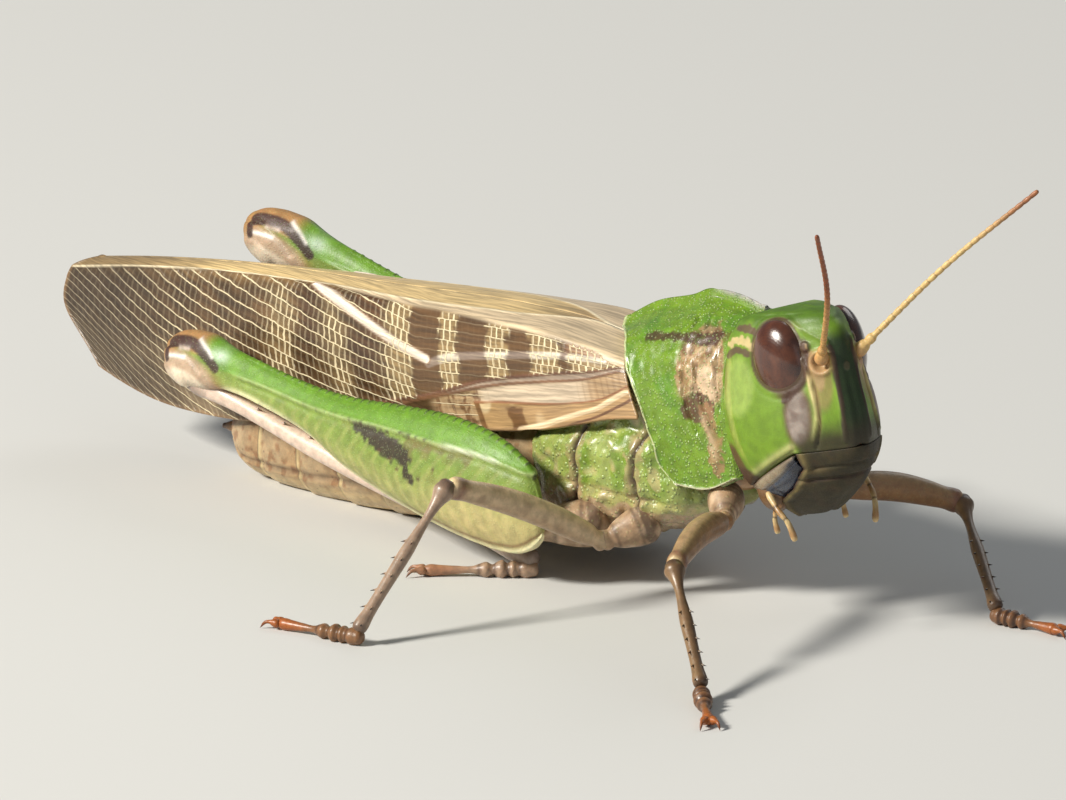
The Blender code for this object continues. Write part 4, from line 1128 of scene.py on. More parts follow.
def thorax_tint(spots, run, ring):
    near = flattened(spots)
    z = spots[:, 2]
    plates = ((-7.9, 4, 7.6), (-11.2, 4, 7.2), (-5.4, 4, 8.0))
    return painted(
        plain(spots, "green"),
        (0.45, (0.46, 0.46, 0.17)),
        *((0.7 * blot(near, middle, (0.95, 1, 2.1)), "green") for middle in plates),
        (0.5 * ragged(ramp(6.6, 5.4, z), spots, 0.9, 0.3), (0.42, 0.34, 0.14)),
        (0.9 * ragged(ramp(5.8, 4.4, z), spots, 0.8, 0.3), (0.42, 0.28, 0.17)),
        (0.75 * ramp(9.9, 10.7, z), (0.5, 0.33, 0.2)),
        (0.55 * ramp(0.3, 0.8, cloud(spots, 0.9)), (0.50, 0.38, 0.20)),
        *((0.55 * ragged(stroke(near, 0.6, *line), spots, 0.4, 0.4), (0.40, 0.27, 0.16)) for line in SUTURES),
        *((0.95 * stroke(near, 0.14, *line), "umber") for line in SUTURES),
        # Painted shade: the thorax darkened towards its bottom, under the body.
        (0.6 * ramp(3.4, 2.4, z), (0.10, 0.05, 0.02)),
    )


def prothorax_surface(u, v):
    """The neck's skin: its front end turns with the head and its back end stays with the body."""
    turn = 2 * pi * v
    place, close = capping(u, 0.06, 0.06)
    place = place * (len(PROTHORAX) - 1)
    x, half, top, low = (along([(i, ring[k]) for i, ring in enumerate(PROTHORAX)], place) for k in range(4))
    y = rounded(np.cos(turn), 0.8) * half * close
    z = (top + low) / 2 + rounded(np.sin(turn), 0.8) * (top - low) / 2 * close
    spot = np.stack([x, y, z], -1)
    neck = (np.array(BODY.inverted() @ HEAD) @ np.hstack([spot, np.ones((len(spot), 1))]).T).T[:, :3]
    share = np.clip(place, 0, 1)[:, None]
    return neck * (1 - share) + spot * share


def prothorax_relief(spots, run, ring):
    return 0.09 * np.cos(run * 24) + 0.08 * hump(run, 0.55, 0.05)


def prothorax_tint(spots, run, ring):
    return painted(
        plain(spots, "tan"),
        (0.45 * (0.5 + 0.5 * np.cos(run * 24)), "pink"),
        # Painted shade: the neck darkened at its front end, where it goes into the head, and along its top,
        # under the shield.
        (0.55 * ramp(0.25, 0.0, run), "umber"),
        (0.5 * ramp(-3.4, -2.0, spots[:, 2]), "umber"),
    )


def abdomen_surface(u, v):
    share, close = capping(u, 0.01, 0.02)
    x = ABDOMEN_FRONT + (ABDOMEN_BACK - ABDOMEN_FRONT) * share
    low, top = along(ABDOMEN_LOW, x), along(ABDOMEN_TOP, x)
    part = share * ABDOMEN_RINGS % 1
    edge = 0.12 * ramp(0.0, 0.9, part) - 0.14 * ramp(0.93, 0.995, part) * (share < 0.98)
    half = along(ABDOMEN_HALF_WIDTH, x) + edge - 0.08
    waist = low + (top - low) * ABDOMEN_WAIST
    turn = 2 * pi * v
    reach = np.where(np.sin(turn) > 0, top - waist, waist - low) + edge - 0.08
    y = rounded(np.cos(turn), 2 / 2.3) * half * close
    z = rounded(np.sin(turn), 2 / 2.3) * reach * close
    return np.stack([x, y, np.maximum(waist + z, 0)], -1)


def abdomen_relief(spots, run, ring):
    side = np.abs(np.sin(2 * pi * (ring - 0.5)))
    below = ring > 0.5
    return -0.14 * below * hump(side, 0.32, 0.07) + 0.05 * below * hump(side, 0.45, 0.06)


def abdomen_tint(spots, run, ring):
    part = run * ABDOMEN_RINGS % 1
    side, below = np.abs(np.sin(2 * pi * (ring - 0.5))), ring > 0.5
    return painted(
        plain(spots, (0.37, 0.26, 0.145)),
        (0.45 * ramp(0.5, 0.0, part), "tan"),
        (0.7 * ramp(0.62, 0.8, 0.5 + 0.5 * cloud(spots, 0.55)), (0.20, 0.09, 0.035)),
        (0.5 * ramp(0.86, 0.95, part), "cream"),
        (0.75 * ramp(0.955, 0.99, part), "umber"),
        (0.5 * below * hump(side, 0.32, 0.06), "umber"),
        (0.4 * below * ramp(0.4, 0.7, side), "cream"),
        (0.5 * ~below * ramp(0.3, 0.9, side), "tan"),
    )


def valve_tint(spots, run, ring):
    return painted(plain(spots, "tan"), (0.85 * ramp(0.35, 0.95, run), "umber"))


def cercus_tint(spots, run, ring):
    return painted(plain(spots, "tan"), (0.5 * ramp(0.4, 0.9, run), "umber"))


STUB_GRID = (40, 24)


class LOCUST_OT_trunk(bpy.types.Operator):
    """Add the shield, the segments of the thorax, the abdomen and the tail"""

    bl_idname = "locust.trunk"
    bl_label = "Trunk"

    def execute(self, context):
        green = cuticle("green shield surface", mottle=0.4, mottle_scale=1.4, grains_and_glints=1.5, grain_scale=4.4,
                        gloss=0.24, coat=0.5)
        shield = facing(sheet(pronotum_surface, 200, 260, close=False), Vector((0, 0, 1)))
        piece(shield, "shield", green, "green_cuticle", "pronotum", place=BODY, sculpt=pronotum_relief,
              paint=pronotum_tint, wall=0.5)
        flank = cuticle("green flank surface", mottle=0.45, mottle_scale=1.2, grains_and_glints=1.6, grain_scale=3.4,
                        gloss=0.24, coat=0.5)
        piece(sheet(trunk_surface(THORAX, PLEURA), 220, 220), "thorax_shell", flank, "green_flank", "thorax",
              sculpt=thorax_relief, paint=thorax_tint)
        tan = cuticle("tan skin surface", mottle=0.45, mottle_scale=1.8, gloss=0.36, coat=0.2)
        piece(sheet(prothorax_surface, 80, 100), "neck", tan, "tan_cuticle", "prothorax", place=BODY,
              sculpt=prothorax_relief, paint=prothorax_tint)
        pink = cuticle("pinkish skin surface", mottle=0.4, mottle_scale=1.5, grains_and_glints=0.15, grain_scale=6.0,
                       specks=0.5, gloss=0.36, coat=0.2)
        piece(sheet(abdomen_surface, 520, 120), "belly", pink, "pink_cuticle", "abdomen",
              sculpt=abdomen_relief, paint=abdomen_tint)
        root = Vector((ABDOMEN_BACK - 0.1, 0, 3.1))
        for name, rise, tip in (("upper", 0.35, 0.75), ("lower", -0.65, -0.85)):
            lobes = []
            for y in (-0.3, 0.3):
                start, end = root + Vector((0, y, rise)), root + Vector((-1.5, y * 1.3, tip))
                lobes.append(limb(start, end, ((0, 0.36), (0.5, 0.36), (1, 0.16)), *STUB_GRID))
            piece(joined(*lobes), "tail_" + name, tan, "tan_cuticle", "valve_" + name, paint=valve_tint)
        for side, letter in SIDES.items():
            start = Vector((-40.2, side * 1.4, 4.2))
            end = start + Vector((-1.3, side * 0.1, 0.1))
            feeler = limb(start, end, ((0, 0.27), (0.6, 0.24), (1, 0.13)), *STUB_GRID)
            piece(feeler, "tail_feeler_" + letter, tan, "tan_cuticle", "cercus_" + letter, paint=cercus_tint)
        return {"FINISHED"}


# ---- Wings ----


def wing_surface(side, inset=0.0):
    """The folded fore wing's outer face: u runs to the tip and v from the back down to the margin."""

    def surface(u, v):
        dorsal = np.clip(v / DORSAL_SHARE, 0, 1)
        lateral = np.clip((v - DORSAL_SHARE) / (1 - DORSAL_SHARE), 0, 1)
        front = WING_FRONT + WING_SHOULDER * lateral
        x = front + (along(WING_END, v) - front) * u
        fold, drop = along(FOLD_HALF_WIDTH, x), along(FOLD_HEIGHT, x)
        margin, low = along(MARGIN_HALF_WIDTH, x), along(MARGIN_HEIGHT, x)
        ridge = WING_RIDGE * (1 - dorsal**2) * np.clip(u * 4, 0, 1)
        flat = v < DORSAL_SHARE
        y = np.where(flat, 0.06 + (fold - 0.06) * dorsal, fold + (margin - fold) * lateral**0.6)
        z = drop + np.where(flat, ridge, (low - drop) * lateral)
        return np.stack([x, side * (y - inset), z], -1)

    return surface


# The wing's length in widths, the slanting veins of its outer half, and the net's cells along it.
WING_ASPECT, SLANTING_VEINS, NET_CELLS = 4.0, 16, 96


def wing_map(run, ring):
    """Places on the wing in a map whose unit is the same along and across."""
    return np.stack([run * WING_ASPECT, ring, np.zeros(len(run))], -1)


RIDGE = (
    (0, 0), (0.05, 0.005), (0.108, 0.012), (0.158, 0.094), (0.21, 0.166), (0.272, 0.201), (0.337, 0.222),
    (0.408, 0.232), (0.486, 0.221), (0.541, 0.225), (0.592, 0.26), (0.665, 0.278), (0.8, 0.29), (1, 0.3),
)
SHELF = (
    (0, 0.4), (0.029, 0.368), (0.046, 0.33), (0.072, 0.324), (0.106, 0.332), (0.14, 0.338), (0.174, 0.326),
    (0.21, 0.323), (0.246, 0.313), (0.282, 0.304), (0.321, 0.298), (0.373, 0.3), (0.454, 0.274),
    (0.52, 0.24),
)
THICK_VEIN = ((0.56, 0.27), (0.5015, 0.348), (0.461, 0.41), (0.4235, 0.47), (0.3875, 0.53), (0.343, 0.59))
MIDDLE_VEIN = (
    (0.34, 0.615), (0.312, 0.575), (0.281, 0.549), (0.21, 0.51), (0.14, 0.47), (0.089, 0.427),
    (0.037, 0.39),
)
BROWN_VEIN = (
    (0.46, 0.87), (0.413, 0.841), (0.365, 0.813), (0.325, 0.776), (0.286, 0.732), (0.249, 0.688),
    (0.213, 0.659), (0.142, 0.604), (0.073, 0.533), (0.04, 0.479), (0.006, 0.396),
)
NEXT_VEIN = (
    (0.4, 0.85), (0.328, 0.796), (0.289, 0.762), (0.251, 0.726), (0.215, 0.698), (0.144, 0.654),
    (0.076, 0.598), (0.042, 0.534), (0.008, 0.44),
)
THIN_VEIN = (
    (0.268, 0.824), (0.222, 0.815), (0.151, 0.813), (0.084, 0.804), (0.05, 0.778), (0.022, 0.694),
    (0.0, 0.6),
)
HEM_VEIN = ((0.2, 1.0), (0.154, 0.969), (0.126, 0.942), (0.089, 0.905), (0.054, 0.859), (0.006, 0.678))
HEM_SHADE = ((0.12, 1.02), (0.103, 0.996), (0.06, 0.96), (0.021, 0.85), (0.0, 0.76))
BLOCKS = ((0.376, 0.315), (0.291, 0.23), (0.203, 0.155), (0.111, 0.087))
RAISED = (
    (RIDGE, 0.6), (THICK_VEIN, 1.7), (MIDDLE_VEIN, 1.0), (BROWN_VEIN, 0.9), (NEXT_VEIN, 0.7),
    (THIN_VEIN, 0.6), (HEM_VEIN, 1.2),
)


def vein_distance(run, ring, line):
    """How far each place of the wing lies from a vein, in widths of the wing."""
    return distance(wing_map(run, ring), [(u * WING_ASPECT, v, 0) for u, v in line])


def streak(run, ring, width, line):
    """A line along a vein, with a crisp edge."""
    return ramp(width * 1.3, width * 0.7, vein_distance(run, ring, line))


def distal_row(run, ring):
    """Which of the slanting veins of the wing's outer half a place is near, counted across them."""
    bend = 5 * np.maximum(run - 0.6, 0) ** 3
    return (ring + 1.05 * np.clip(run - 0.36, 0, 1) + bend) * SLANTING_VEINS


def wing_relief(spots, run, ring):
    height = np.zeros(len(run))
    for line, rise in RAISED:
        height = np.maximum(height, rise * np.exp(-((vein_distance(run, ring, line) / 0.014) ** 2)))
    row = distal_row(run, ring)
    ribs = ramp(0.7, 0.98, -np.cos(2 * pi * row)) * ramp(0.4, 0.5, run) * ramp(0.26, 0.34, ring)
    height = np.maximum(height, 0.4 * ribs)
    rim = np.maximum(ramp(0.985, 1, ring), ramp(0.994, 1, run))
    return bpy.context.scene.locust_sizes.vein * np.maximum(height, rim)


def between(ring, low, high, soft=0.012):
    """1 between two edges, each a number or one for each place."""
    return ramp(-soft, soft, ring - low) * ramp(soft, -soft, ring - high)


def wing_blocks(run, flecks):
    """The dark squares between the pale fold and the middle vein."""
    made = np.zeros(len(run))
    for start, end in BLOCKS:
        jag = 0.006 * flecks
        made = np.maximum(made, ramp(start, start - 0.009, run + jag) * ramp(end, end + 0.009, run + jag))
    return made


def front_wing_marks(run, ring, lumps, flecks):
    """Blocks, brown veins and pale bands of the wing's inner half, and the strength of the net there."""
    lines = SHELF, MIDDLE_VEIN, BROWN_VEIN, NEXT_VEIN, THIN_VEIN
    shelf, middle, brown, after, thin = (along(line, run) for line in lines)
    field = between(ring, shelf, brown) * ramp(0.42, 0.4, run)
    blocks = wing_blocks(run, flecks)
    corner = between(run, 0.422, 0.478, 0.006) * ramp(-0.01, 0.01, ring - shelf)
    corner = corner * (ring < along(THICK_VEIN, run))
    edge = streak(run, ring, 0.023, MIDDLE_VEIN)
    gap = between(ring, brown, after) * ramp(0.44, 0.38, run)
    pale = between(ring, after + 0.012, np.where(run > 0.27, 1.1, thin)) * ramp(0.36, 0.33, run)
    bars = ramp(0.3, 0.8, np.sin(run * 250 + 2 * flecks + 6 * ring))
    under = ramp(-0.01, 0.01, ring - thin) * ramp(0.275, 0.265, run)
    hem_spots = hump(run, 0.2, 0.016) * ramp(0.82, 0.86, ring) + hump(run, 0.266, 0.006)
    marks = (
        # Blocks and the vein under them.
        (0.9 * field * (1 - blocks), (0.27, 0.18, 0.08)),
        (0.95 * field * blocks, (0.105, 0.052, 0.019)),
        (0.6 * field * ramp(0.105, 0.09, run) * (ring < middle), (0.30, 0.15, 0.08)),
        (0.7 * corner, (0.09, 0.038, 0.014)),
        (0.9 * edge, (0.27, 0.20, 0.16)),
        (0.9 * edge * (1 - blocks), (0.70, 0.62, 0.50)),
        # The pale bands of the margin, with their bars and spots.
        (0.8 * gap, (0.36, 0.27, 0.20)),
        (0.95 * pale, (0.38, 0.25, 0.135)),
        (0.9 * pale * ramp(0.27, 0.245, run) * ramp(0.05, 0.09, run), (0.54, 0.43, 0.31)),
        (0.85 * pale * bars * ramp(0.235, 0.26, run), (0.15, 0.07, 0.03)),
        (0.35 * pale * ramp(0.2, 0.9, np.sin(run * 620)) * ramp(0.1, 0.06, run), (0.18, 0.09, 0.04)),
        (0.9 * under, (0.42, 0.26, 0.12)),
        (0.6 * under * ramp(0.1, 0.6, lumps) * ramp(0.12, 0.2, run), (0.72, 0.58, 0.36)),
        (0.85 * under * ramp(0.35, 0.65, hem_spots + 0.2 * flecks), (0.13, 0.055, 0.02)),
        # The veins themselves.
        (0.95 * streak(run, ring, 0.011, BROWN_VEIN), (0.13, 0.055, 0.028)),
        (0.9 * streak(run, ring, 0.009, NEXT_VEIN), (0.17, 0.08, 0.04)),
        (0.9 * streak(run, ring, 0.008, THIN_VEIN), (0.26, 0.11, 0.05)),
        (0.95 * streak(run, ring, 0.022, HEM_VEIN), (0.78, 0.60, 0.38)),
        (0.9 * streak(run, ring, 0.013, HEM_SHADE), (0.12, 0.05, 0.025)),
    )
    return marks, field * (1 - blocks) + 0.1 * field * blocks + 0.3 * pale * ramp(0.22, 0.28, run)


def wing_tint(spots, run, ring):
    ridge, shelf = along(RIDGE, run), along(SHELF, run)
    lumps, flecks = cloud(spots, 1.5), cloud(spots, 0.4)
    wander = run + 0.012 * lumps + 0.03 * (ring - 0.55)
    columns = hump(wander, 0.507, 0.019) + hump(wander, 0.613, 0.022) + hump(run, 0.403, 0.018)
    columns = columns * ramp(0.3, 0.36, ring) * ramp(0.88, 0.8, ring) * ramp(0.39, 0.4, run + (ring < shelf))
    outer = ramp(0.39, 0.42, run) * ramp(0.0, 0.03, ring - ridge)
    inner, net = front_wing_marks(run, ring, lumps, flecks)
    tip = ramp(0.7, 0.93, run + 0.03 * lumps)
    dorsal = ramp(0.012, -0.012, ring - ridge)
    fold = between(ring, ridge, shelf) * ramp(0.56, 0.5, run)
    thick = streak(run, ring, 0.028, THICK_VEIN)
    net = net + outer * (0.55 + 0.45 * columns) * (1 - thick) * (1 - 0.8 * fold) * (1 - 0.65 * tip)
    tint = painted(
        plain(spots, "wing"),
        (0.4 * ramp(-0.3, 0.8, lumps), (0.17, 0.09, 0.035)),
        (0.6 * outer * hump(run, 0.452, 0.028) * ramp(0.4, 0.5, ring), (0.06, 0.024, 0.009)),
        (0.5 * outer * hump(run, 0.56, 0.022), (0.06, 0.025, 0.01)),
        (0.4 * ramp(0.65, 0.8, run) * ramp(0.55, 0.9, ring), (0.40, 0.30, 0.18)),
        (0.4 * outer * columns, (0.30, 0.21, 0.10)),
        (0.55 * outer * ramp(0.09, 0.0, ring - ridge), (0.30, 0.18, 0.07)),
        *inner,
        (0.85 * tip, (0.036, 0.022, 0.012)),
        # The straw-coloured back, the fold beside it, and the thick veins.
        (0.95 * dorsal, (0.68, 0.50, 0.24)),
        (0.85 * dorsal * ramp(0.24, 0.1, run), (0.25, 0.155, 0.07)),
        (0.3 * dorsal * ramp(0.4, 0.9, np.sin(ring * 300 + 2 * lumps)), (0.40, 0.25, 0.10)),
        (0.95 * fold, (0.62, 0.48, 0.31)),
        (0.8 * streak(run, ring, 0.011, RIDGE), (0.82, 0.70, 0.48)),
        (0.95 * streak(run, ring, 0.034, THICK_VEIN), (0.16, 0.075, 0.03)),
        (0.97 * streak(run, ring, 0.025, THICK_VEIN), (0.80, 0.68, 0.56)),
        (0.6 * np.maximum(ramp(0.985, 1, ring), ramp(0.994, 1, run)), (0.3, 0.17, 0.08)),
        (0.75 * dorsal * tip, (0.12, 0.07, 0.035)),
    )
    return np.hstack([tint, np.clip(net * (1 - dorsal), 0, 1)[:, None]])


def hind_wing_surface(side):
    """The part of the hind wing that shows, which lies just inside the fore wing."""
    inner = wing_surface(side, inset=0.75)
    return lambda u, v: inner(0.5 + 0.38 * u, 0.42 + 0.3 * v)


def hind_wing_tint(spots, run, ring):
    return np.tile((0.34, 0.27, 0.18, 0.8), (len(spots), 1))


def add_vein_map(made):
    """A second map, along and across the veins, for the net between them."""
    mesh = made.data
    run, ring = read(mesh, "run"), read(mesh, "ring")
    corner = np.empty(len(mesh.loops), int)
    mesh.loops.foreach_get("vertex_index", corner)
    veins = mesh.uv_layers.new(name="Veins")
    across = distal_row(run, ring) + 0.5
    veins.uv.foreach_set("vector", np.stack([run * NET_CELLS, across], -1)[corner].ravel())
    mesh.uv_layers.active = mesh.uv_layers["Skin"]


class LOCUST_OT_wings(bpy.types.Operator):
    """Add the folded fore wings and the hind wings under them"""

    bl_idname = "locust.wings"
    bl_label = "Wings"

    def execute(self, context):
        for side, letter in SIDES.items():
            blade = facing(sheet(wing_surface(side), 420, 110, close=False), Vector((0, side, 0.5)))
            wing = piece(blade, "fore_wing_" + letter, wing_look("wing surface", 1.0), "wing_membrane",
                         "tegmen_" + letter, sculpt=wing_relief, paint=wing_tint, wall=0.16)
            add_vein_map(wing)
            blade = facing(sheet(hind_wing_surface(side), 120, 40, close=False), Vector((0, side, 0)))
            hind = piece(blade, "hind_wing_" + letter, wing_look("hind wing surface", 0.8), "clear_membrane",
                         "hindwing_" + letter, paint=hind_wing_tint, wall=0.1)
            add_vein_map(hind)
        return {"FINISHED"}


# ---- Legs ----


def spines(knee, ankle, count, length, radius, start):
    """Two rows of spines along the upper face of a shin."""
    way = (ankle - knee).normalized()
    across = way.cross(Vector((0, 0, 1))).normalized()
    upward = across.cross(way)
    made = []
    for row in (-1, 1):
        for i in range(count):
            foot = knee + (ankle - knee) * (start + (0.97 - start) * i / (count - 1))
            lean = across * row * 0.6 + upward * 0.55 + way * 0.75
            foot = foot + (across * row * 0.55 + upward * 0.5) * radius
            made.append(thorn(foot - lean * 0.05, foot + lean.normalized() * length, 0.09))
    return made


def foot_shape(ankle, tip):
    """Pads, a long last joint and two claws with a cushion between them."""
    start = Vector((ankle.x, ankle.y, tip.z + 0.15))
    way = (tip - start).normalized()
    across = way.cross(Vector((0, 0, 1))).normalized()
    sizes = (
        (0.0, 0.42), (0.08, 0.5), (0.15, 0.4), (0.18, 0.5), (0.24, 0.38), (0.27, 0.52), (0.33, 0.42),
        (0.36, 0.3), (0.42, 0.44), (0.48, 0.34), (0.52, 0.25), (0.7, 0.24), (0.84, 0.3), (0.92, 0.34),
        (1, 0.2),
    )
    parts = [limb(start, tip, sizes, 150, 28)]
    for row in (-1, 1):
        root = tip - way * 0.25 + across * row * 0.15
        middle = tip + way * 0.45 + across * row * 0.42 + Vector((0, 0, 0.1))
        point = tip + way * 0.85 + across * row * 0.55 - Vector((0, 0, tip.z - 0.04))
        hook = ((-0.05, 0), (0, 0.13), (0.4, 0.11), (0.8, 0.06), (1.0, 0.0))
        claw = sheet(sweep((root, middle, point), hook), 20, 12)
        run = claw.verts.layers.float["run"]
        for vert in claw.verts:
            vert[run] += THORN_RUN
        parts.append(claw)
    shape = joined(*parts)
    for vert in shape.verts:
        vert.co.z = max(vert.co.z, 0)
    return shape


def foot_tint(dark, pad, red):
    """Pads with dark joints, a red last joint and claws with dark points."""

    def paint(spots, run, ring):
        return painted(
            plain(spots, pad),
            (dark, (0.12, 0.045, 0.02)),
            *((0.7 * hump(run, joint, 0.02), "umber") for joint in (0.16, 0.255, 0.37, 0.5)),
            (red * ramp(0.5, 0.85, run), "orange"),
            (0.75 * ramp(0.4, 1.0, run - THORN_RUN), "umber"),
        )

    return paint


def shin_tint(tone, dark):
    """A shin with pale ground, a darker knee, and spines that are black from the middle up."""

    def paint(spots, run, ring):
        lower_side, skin = ramp(-0.2, 0.7, np.cos(2 * pi * (ring - 0.4))), run < THORN_RUN - 0.5
        return painted(
            plain(spots, tone),
            (dark * lower_side * skin, "umber"),
            (0.7 * ramp(0.1, 0.02, run), "umber"),
            (0.6 * ramp(0.93, 0.99, run) * skin, "umber"),
            (ramp(0.45, 0.6, run - THORN_RUN), (0.012, 0.008, 0.008)),
        )

    return paint


def hip_tint(spots, run, ring):
    return painted(
        plain(spots, (0.33, 0.21, 0.12)),
        (0.6 * ramp(-0.2, 0.7, cloud(spots, 0.8)), (0.60, 0.44, 0.30)),
        (0.5 * hump(run, 0.72, 0.03), "umber"),
        (0.6 * ragged(hump(run, 0.2, 0.1), spots, 0.6, 0.4), "umber"),
        (0.5 * hump(run, 0.36, 0.03), "umber"),
    )


def femur_tint(light):
    """A slim thigh, from orange brown in front to fawn, with a red knee joint."""

    def paint(spots, run, ring):
        tone = np.array((0.25, 0.12, 0.04)) * (1 - light) + np.array((0.58, 0.42, 0.25)) * light
        return painted(
            plain(spots, tone),
            # Painted light and shade: the thigh lighter on its upper side and darker on its lower side.
            (0.35 * ramp(0.2, 0.9, np.sin(2 * pi * ring)), (0.6, 0.45, 0.27)),
            (0.45 * ramp(0, 0.8, -np.sin(2 * pi * ring)), (0.17, 0.08, 0.035)),
            (0.35 * ramp(0.1, 0.8, cloud(spots, 0.7)), (0.20, 0.11, 0.05)),
            (0.7 * hump(run, 0.93, 0.035), (0.16, 0.05, 0.03)),
            (0.6 * ramp(0.965, 1, run), "cream"),
        )

    return paint


THIGH_CARINA = (
    (-0.06, 2.9), (0.082, 3.15), (0.258, 2.62), (0.38, 2.15), (0.49, 1.6), (0.61, 1.15), (0.73, 0.98),
    (0.88, 0.7),
)
THIGH_ABOVE, THIGH_BELOW = ([(item[0], item[k]) for item in HIND_FEMUR] for k in (1, 2))


KNEE_CRESCENT = (
    (28.8, 0.1, 0), (29.0, 0.67, 0), (28.2, 1.22, 0), (27.4, 1.45, 0), (26.5, 1.42, 0), (25.6, 1.1, 0),
    (24.9, 0.7, 0),
)
# The thigh's skin runs from a little before the hip to a little past the knee.
THIGH_START, THIGH_END, THIGH_LENGTH = -0.06, 1.068, 28
# Radians along the whole thigh of the wave that cuts its upper edge into fine teeth.
THIGH_TEETH = 300


def thigh_place(run, ring):
    """Share along the hind femur, height above its axis, and 1 at its upper edge to -1 at its lower."""
    share, up = run * (THIGH_END - THIGH_START) + THIGH_START, np.sin(2 * pi * ring)
    return share, up * np.where(up > 0, along(THIGH_ABOVE, share), along(THIGH_BELOW, share)), up


def thigh_map(share, height):
    """Places on the thigh's outer face in millimetres."""
    return np.stack([share * THIGH_LENGTH, height, np.zeros(len(share))], -1)


def thigh_bones(share, height):
    """The rows of chevrons between the carinae, 0 to 1, and where they show."""
    middle = along(THIGH_CARINA, share) - 0.5 * (along(THIGH_CARINA, share) + along(THIGH_BELOW, share))
    wave = 0.5 + 0.5 * np.cos(2 * pi * (share * 27 + 0.55 * np.abs(height - middle)))
    top, low = along(THIGH_CARINA, share) - 0.25, 0.3 - along(THIGH_BELOW, share)
    face = ramp(top, top - 0.3, height) * ramp(low, low + 0.3, height)
    return wave, face * ramp(0.78, 0.7, share) * ramp(-0.02, 0.04, share)


def hind_femur_tint(spots, run, ring):
    share, height, up = thigh_place(run, ring)
    carina = along(THIGH_CARINA, share)
    under = ramp(carina + 0.05, carina - 0.05, height)
    wave, face = thigh_bones(share, height)
    blotches = ramp(0.15, 0.6, cloud(spots + 7, 0.6)) * hump(share, 0.34, 0.2) * ramp(-0.4, 1.6, height)
    axis = thigh_map(share, height)
    patch = stroke(axis, 0.6, (12.6, 1.75, 0), (11.4, 1.55, 0), (10.0, 1.5, 0), (9.0, 1.4, 0), (8.3, 1.1, 0))
    patch = np.maximum(patch, stroke(axis, 0.3, (8.2, 1.2, 0), (7.9, 0.4, 0), (7.4, 0.1, 0)))
    patch = np.maximum(patch, stroke(axis, 0.72, (11.0, 1.45, 0), (9.5, 1.3, 0)))
    shadow = stroke(axis, 0.42, (8.4, 2.0, 0), (7.0, 2.4, 0), (5.6, 2.75, 0), (3.6, 2.75, 0))
    places = ((9.4, 0.8, 0), (8.7, 0.45, 0), (6.9, 0.5, 0), (5.9, 1.3, 0), (10.4, 0.9, 0))
    dots = [ramp(0.2, 0.08, np.linalg.norm(axis - place, axis=1)) for place in places]
    edge = hump(height, carina, 0.11) * ramp(0.86, 0.8, share)
    specks = ramp(0.2, 0.7, cloud(axis + 40, 0.35)) * ramp(0.72, 0.5, share) * ramp(0.16, 0.24, share)
    low = -along(THIGH_BELOW, share)
    # Painted highlight: a bluish white glint on the knee's neck.
    gloss = hump(axis[:, 0], 24.8, 0.3**0.5) * hump(height, 1.4, 0.12**0.5)
    crescent, teeth = distance(axis, KNEE_CRESCENT), np.cos(share * THIGH_TEETH)
    return painted(
        plain(spots, "green"),
        (0.2, (0.06, 0.33, 0.02)),
        (0.8 * under, (0.19, 0.255, 0.045)),
        (0.55 * under * ramp(0.9, -1.2, height), (0.44, 0.38, 0.16)),
        (0.65 * under * ramp(0.3, 0.1, share) * ramp(1.8, 0, height), (0.52, 0.40, 0.19)),
        # Chevrons and blotches of the outer face, and a painted shadow under its ridge.
        (0.12 * face * ramp(0.6, 0.95, wave), (0.16, 0.22, 0.03)),
        (0.1 * face * ramp(0.4, 0.05, wave), "cream"),
        (0.5 * under * blotches, (0.15, 0.09, 0.025)),
        # Painted shadow: a brown band just under the ridge.
        (0.6 * under * ragged(shadow, spots, 0.5, 0.3), (0.13, 0.085, 0.025)),
        (0.95 * under * ragged(patch, spots, 0.3, 0.25), (0.028, 0.015, 0.008)),
        *((0.8 * under * dot, (0.07, 0.03, 0.012)) for dot in dots),
        # The ridges along the face, with a painted highlight along the upper one, and the toothed upper edge.
        # Painted highlight: a pale line along the ridge, with a white glint near the hip.
        (0.5 * edge, (0.42, 0.50, 0.22)),
        (0.5 * edge * ramp(0.22, 0.18, share) * ramp(0.04, 0.07, share), (0.85, 0.85, 0.72)),
        (0.85 * hump(height, carina - 0.04, 0.12) * specks, "umber"),
        (0.9 * hump(height, low + 0.12, 0.2) * ramp(0.9, 0.84, share), (0.74, 0.70, 0.42)),
        (0.7 * hump(height, low + 0.5, 0.12) * ramp(0.34, 0.25, share), (0.2, 0.1, 0.04)),
        (0.85 * ramp(0.96, 1, up) * ramp(0.5, 0.9, teeth) * ramp(0.8, 0.7, share), (0.03, 0.035, 0.01)),
        # The knee: its pale lobe, its dark crescent and the highlights around it.
        (ramp(0.84, 0.9, share) * ramp(0.9, -0.4, height + 8 * (0.9 - share)), "tan"),
        (0.9 * ramp(0.91, 0.95, share) * ramp(0.9, 1.2, height), (0.40, 0.19, 0.08)),
        (0.9 * blot(axis, (27.0, -0.45, 0), (2.2, 1.35, 1)), (0.46, 0.33, 0.23)),
        (0.85 * blot(axis, (27.2, -0.9, 0), (1.6, 0.8, 1)), (0.74, 0.62, 0.47)),
        (0.5 * gloss, (0.62, 0.72, 0.66)),
        (0.95 * ramp(0.34, 0.22, crescent), (0.035, 0.008, 0.007)),
        (0.8 * stroke(axis, 0.13, (27.95, 0.98, 0), (27.1, 1.15, 0)), (0.55, 0.45, 0.40)),
        (0.95 * stroke(axis, 0.11, (28.5, 0.3, 0), (27.9, 0.5, 0), (27.3, 0.62, 0)), (0.9, 0.86, 0.8)),
        (0.8 * stroke(axis, 0.09, (26.6, 1.78, 0), (25.8, 1.5, 0), (25.3, 1.2, 0)), (0.85, 0.8, 0.75)),
        (0.85 * stroke(axis, 0.1, (26.6, -1.25, 0), (25.6, -1.0, 0), (24.6, -0.7, 0), (23.4, -0.4, 0)),
         "umber"),
    )


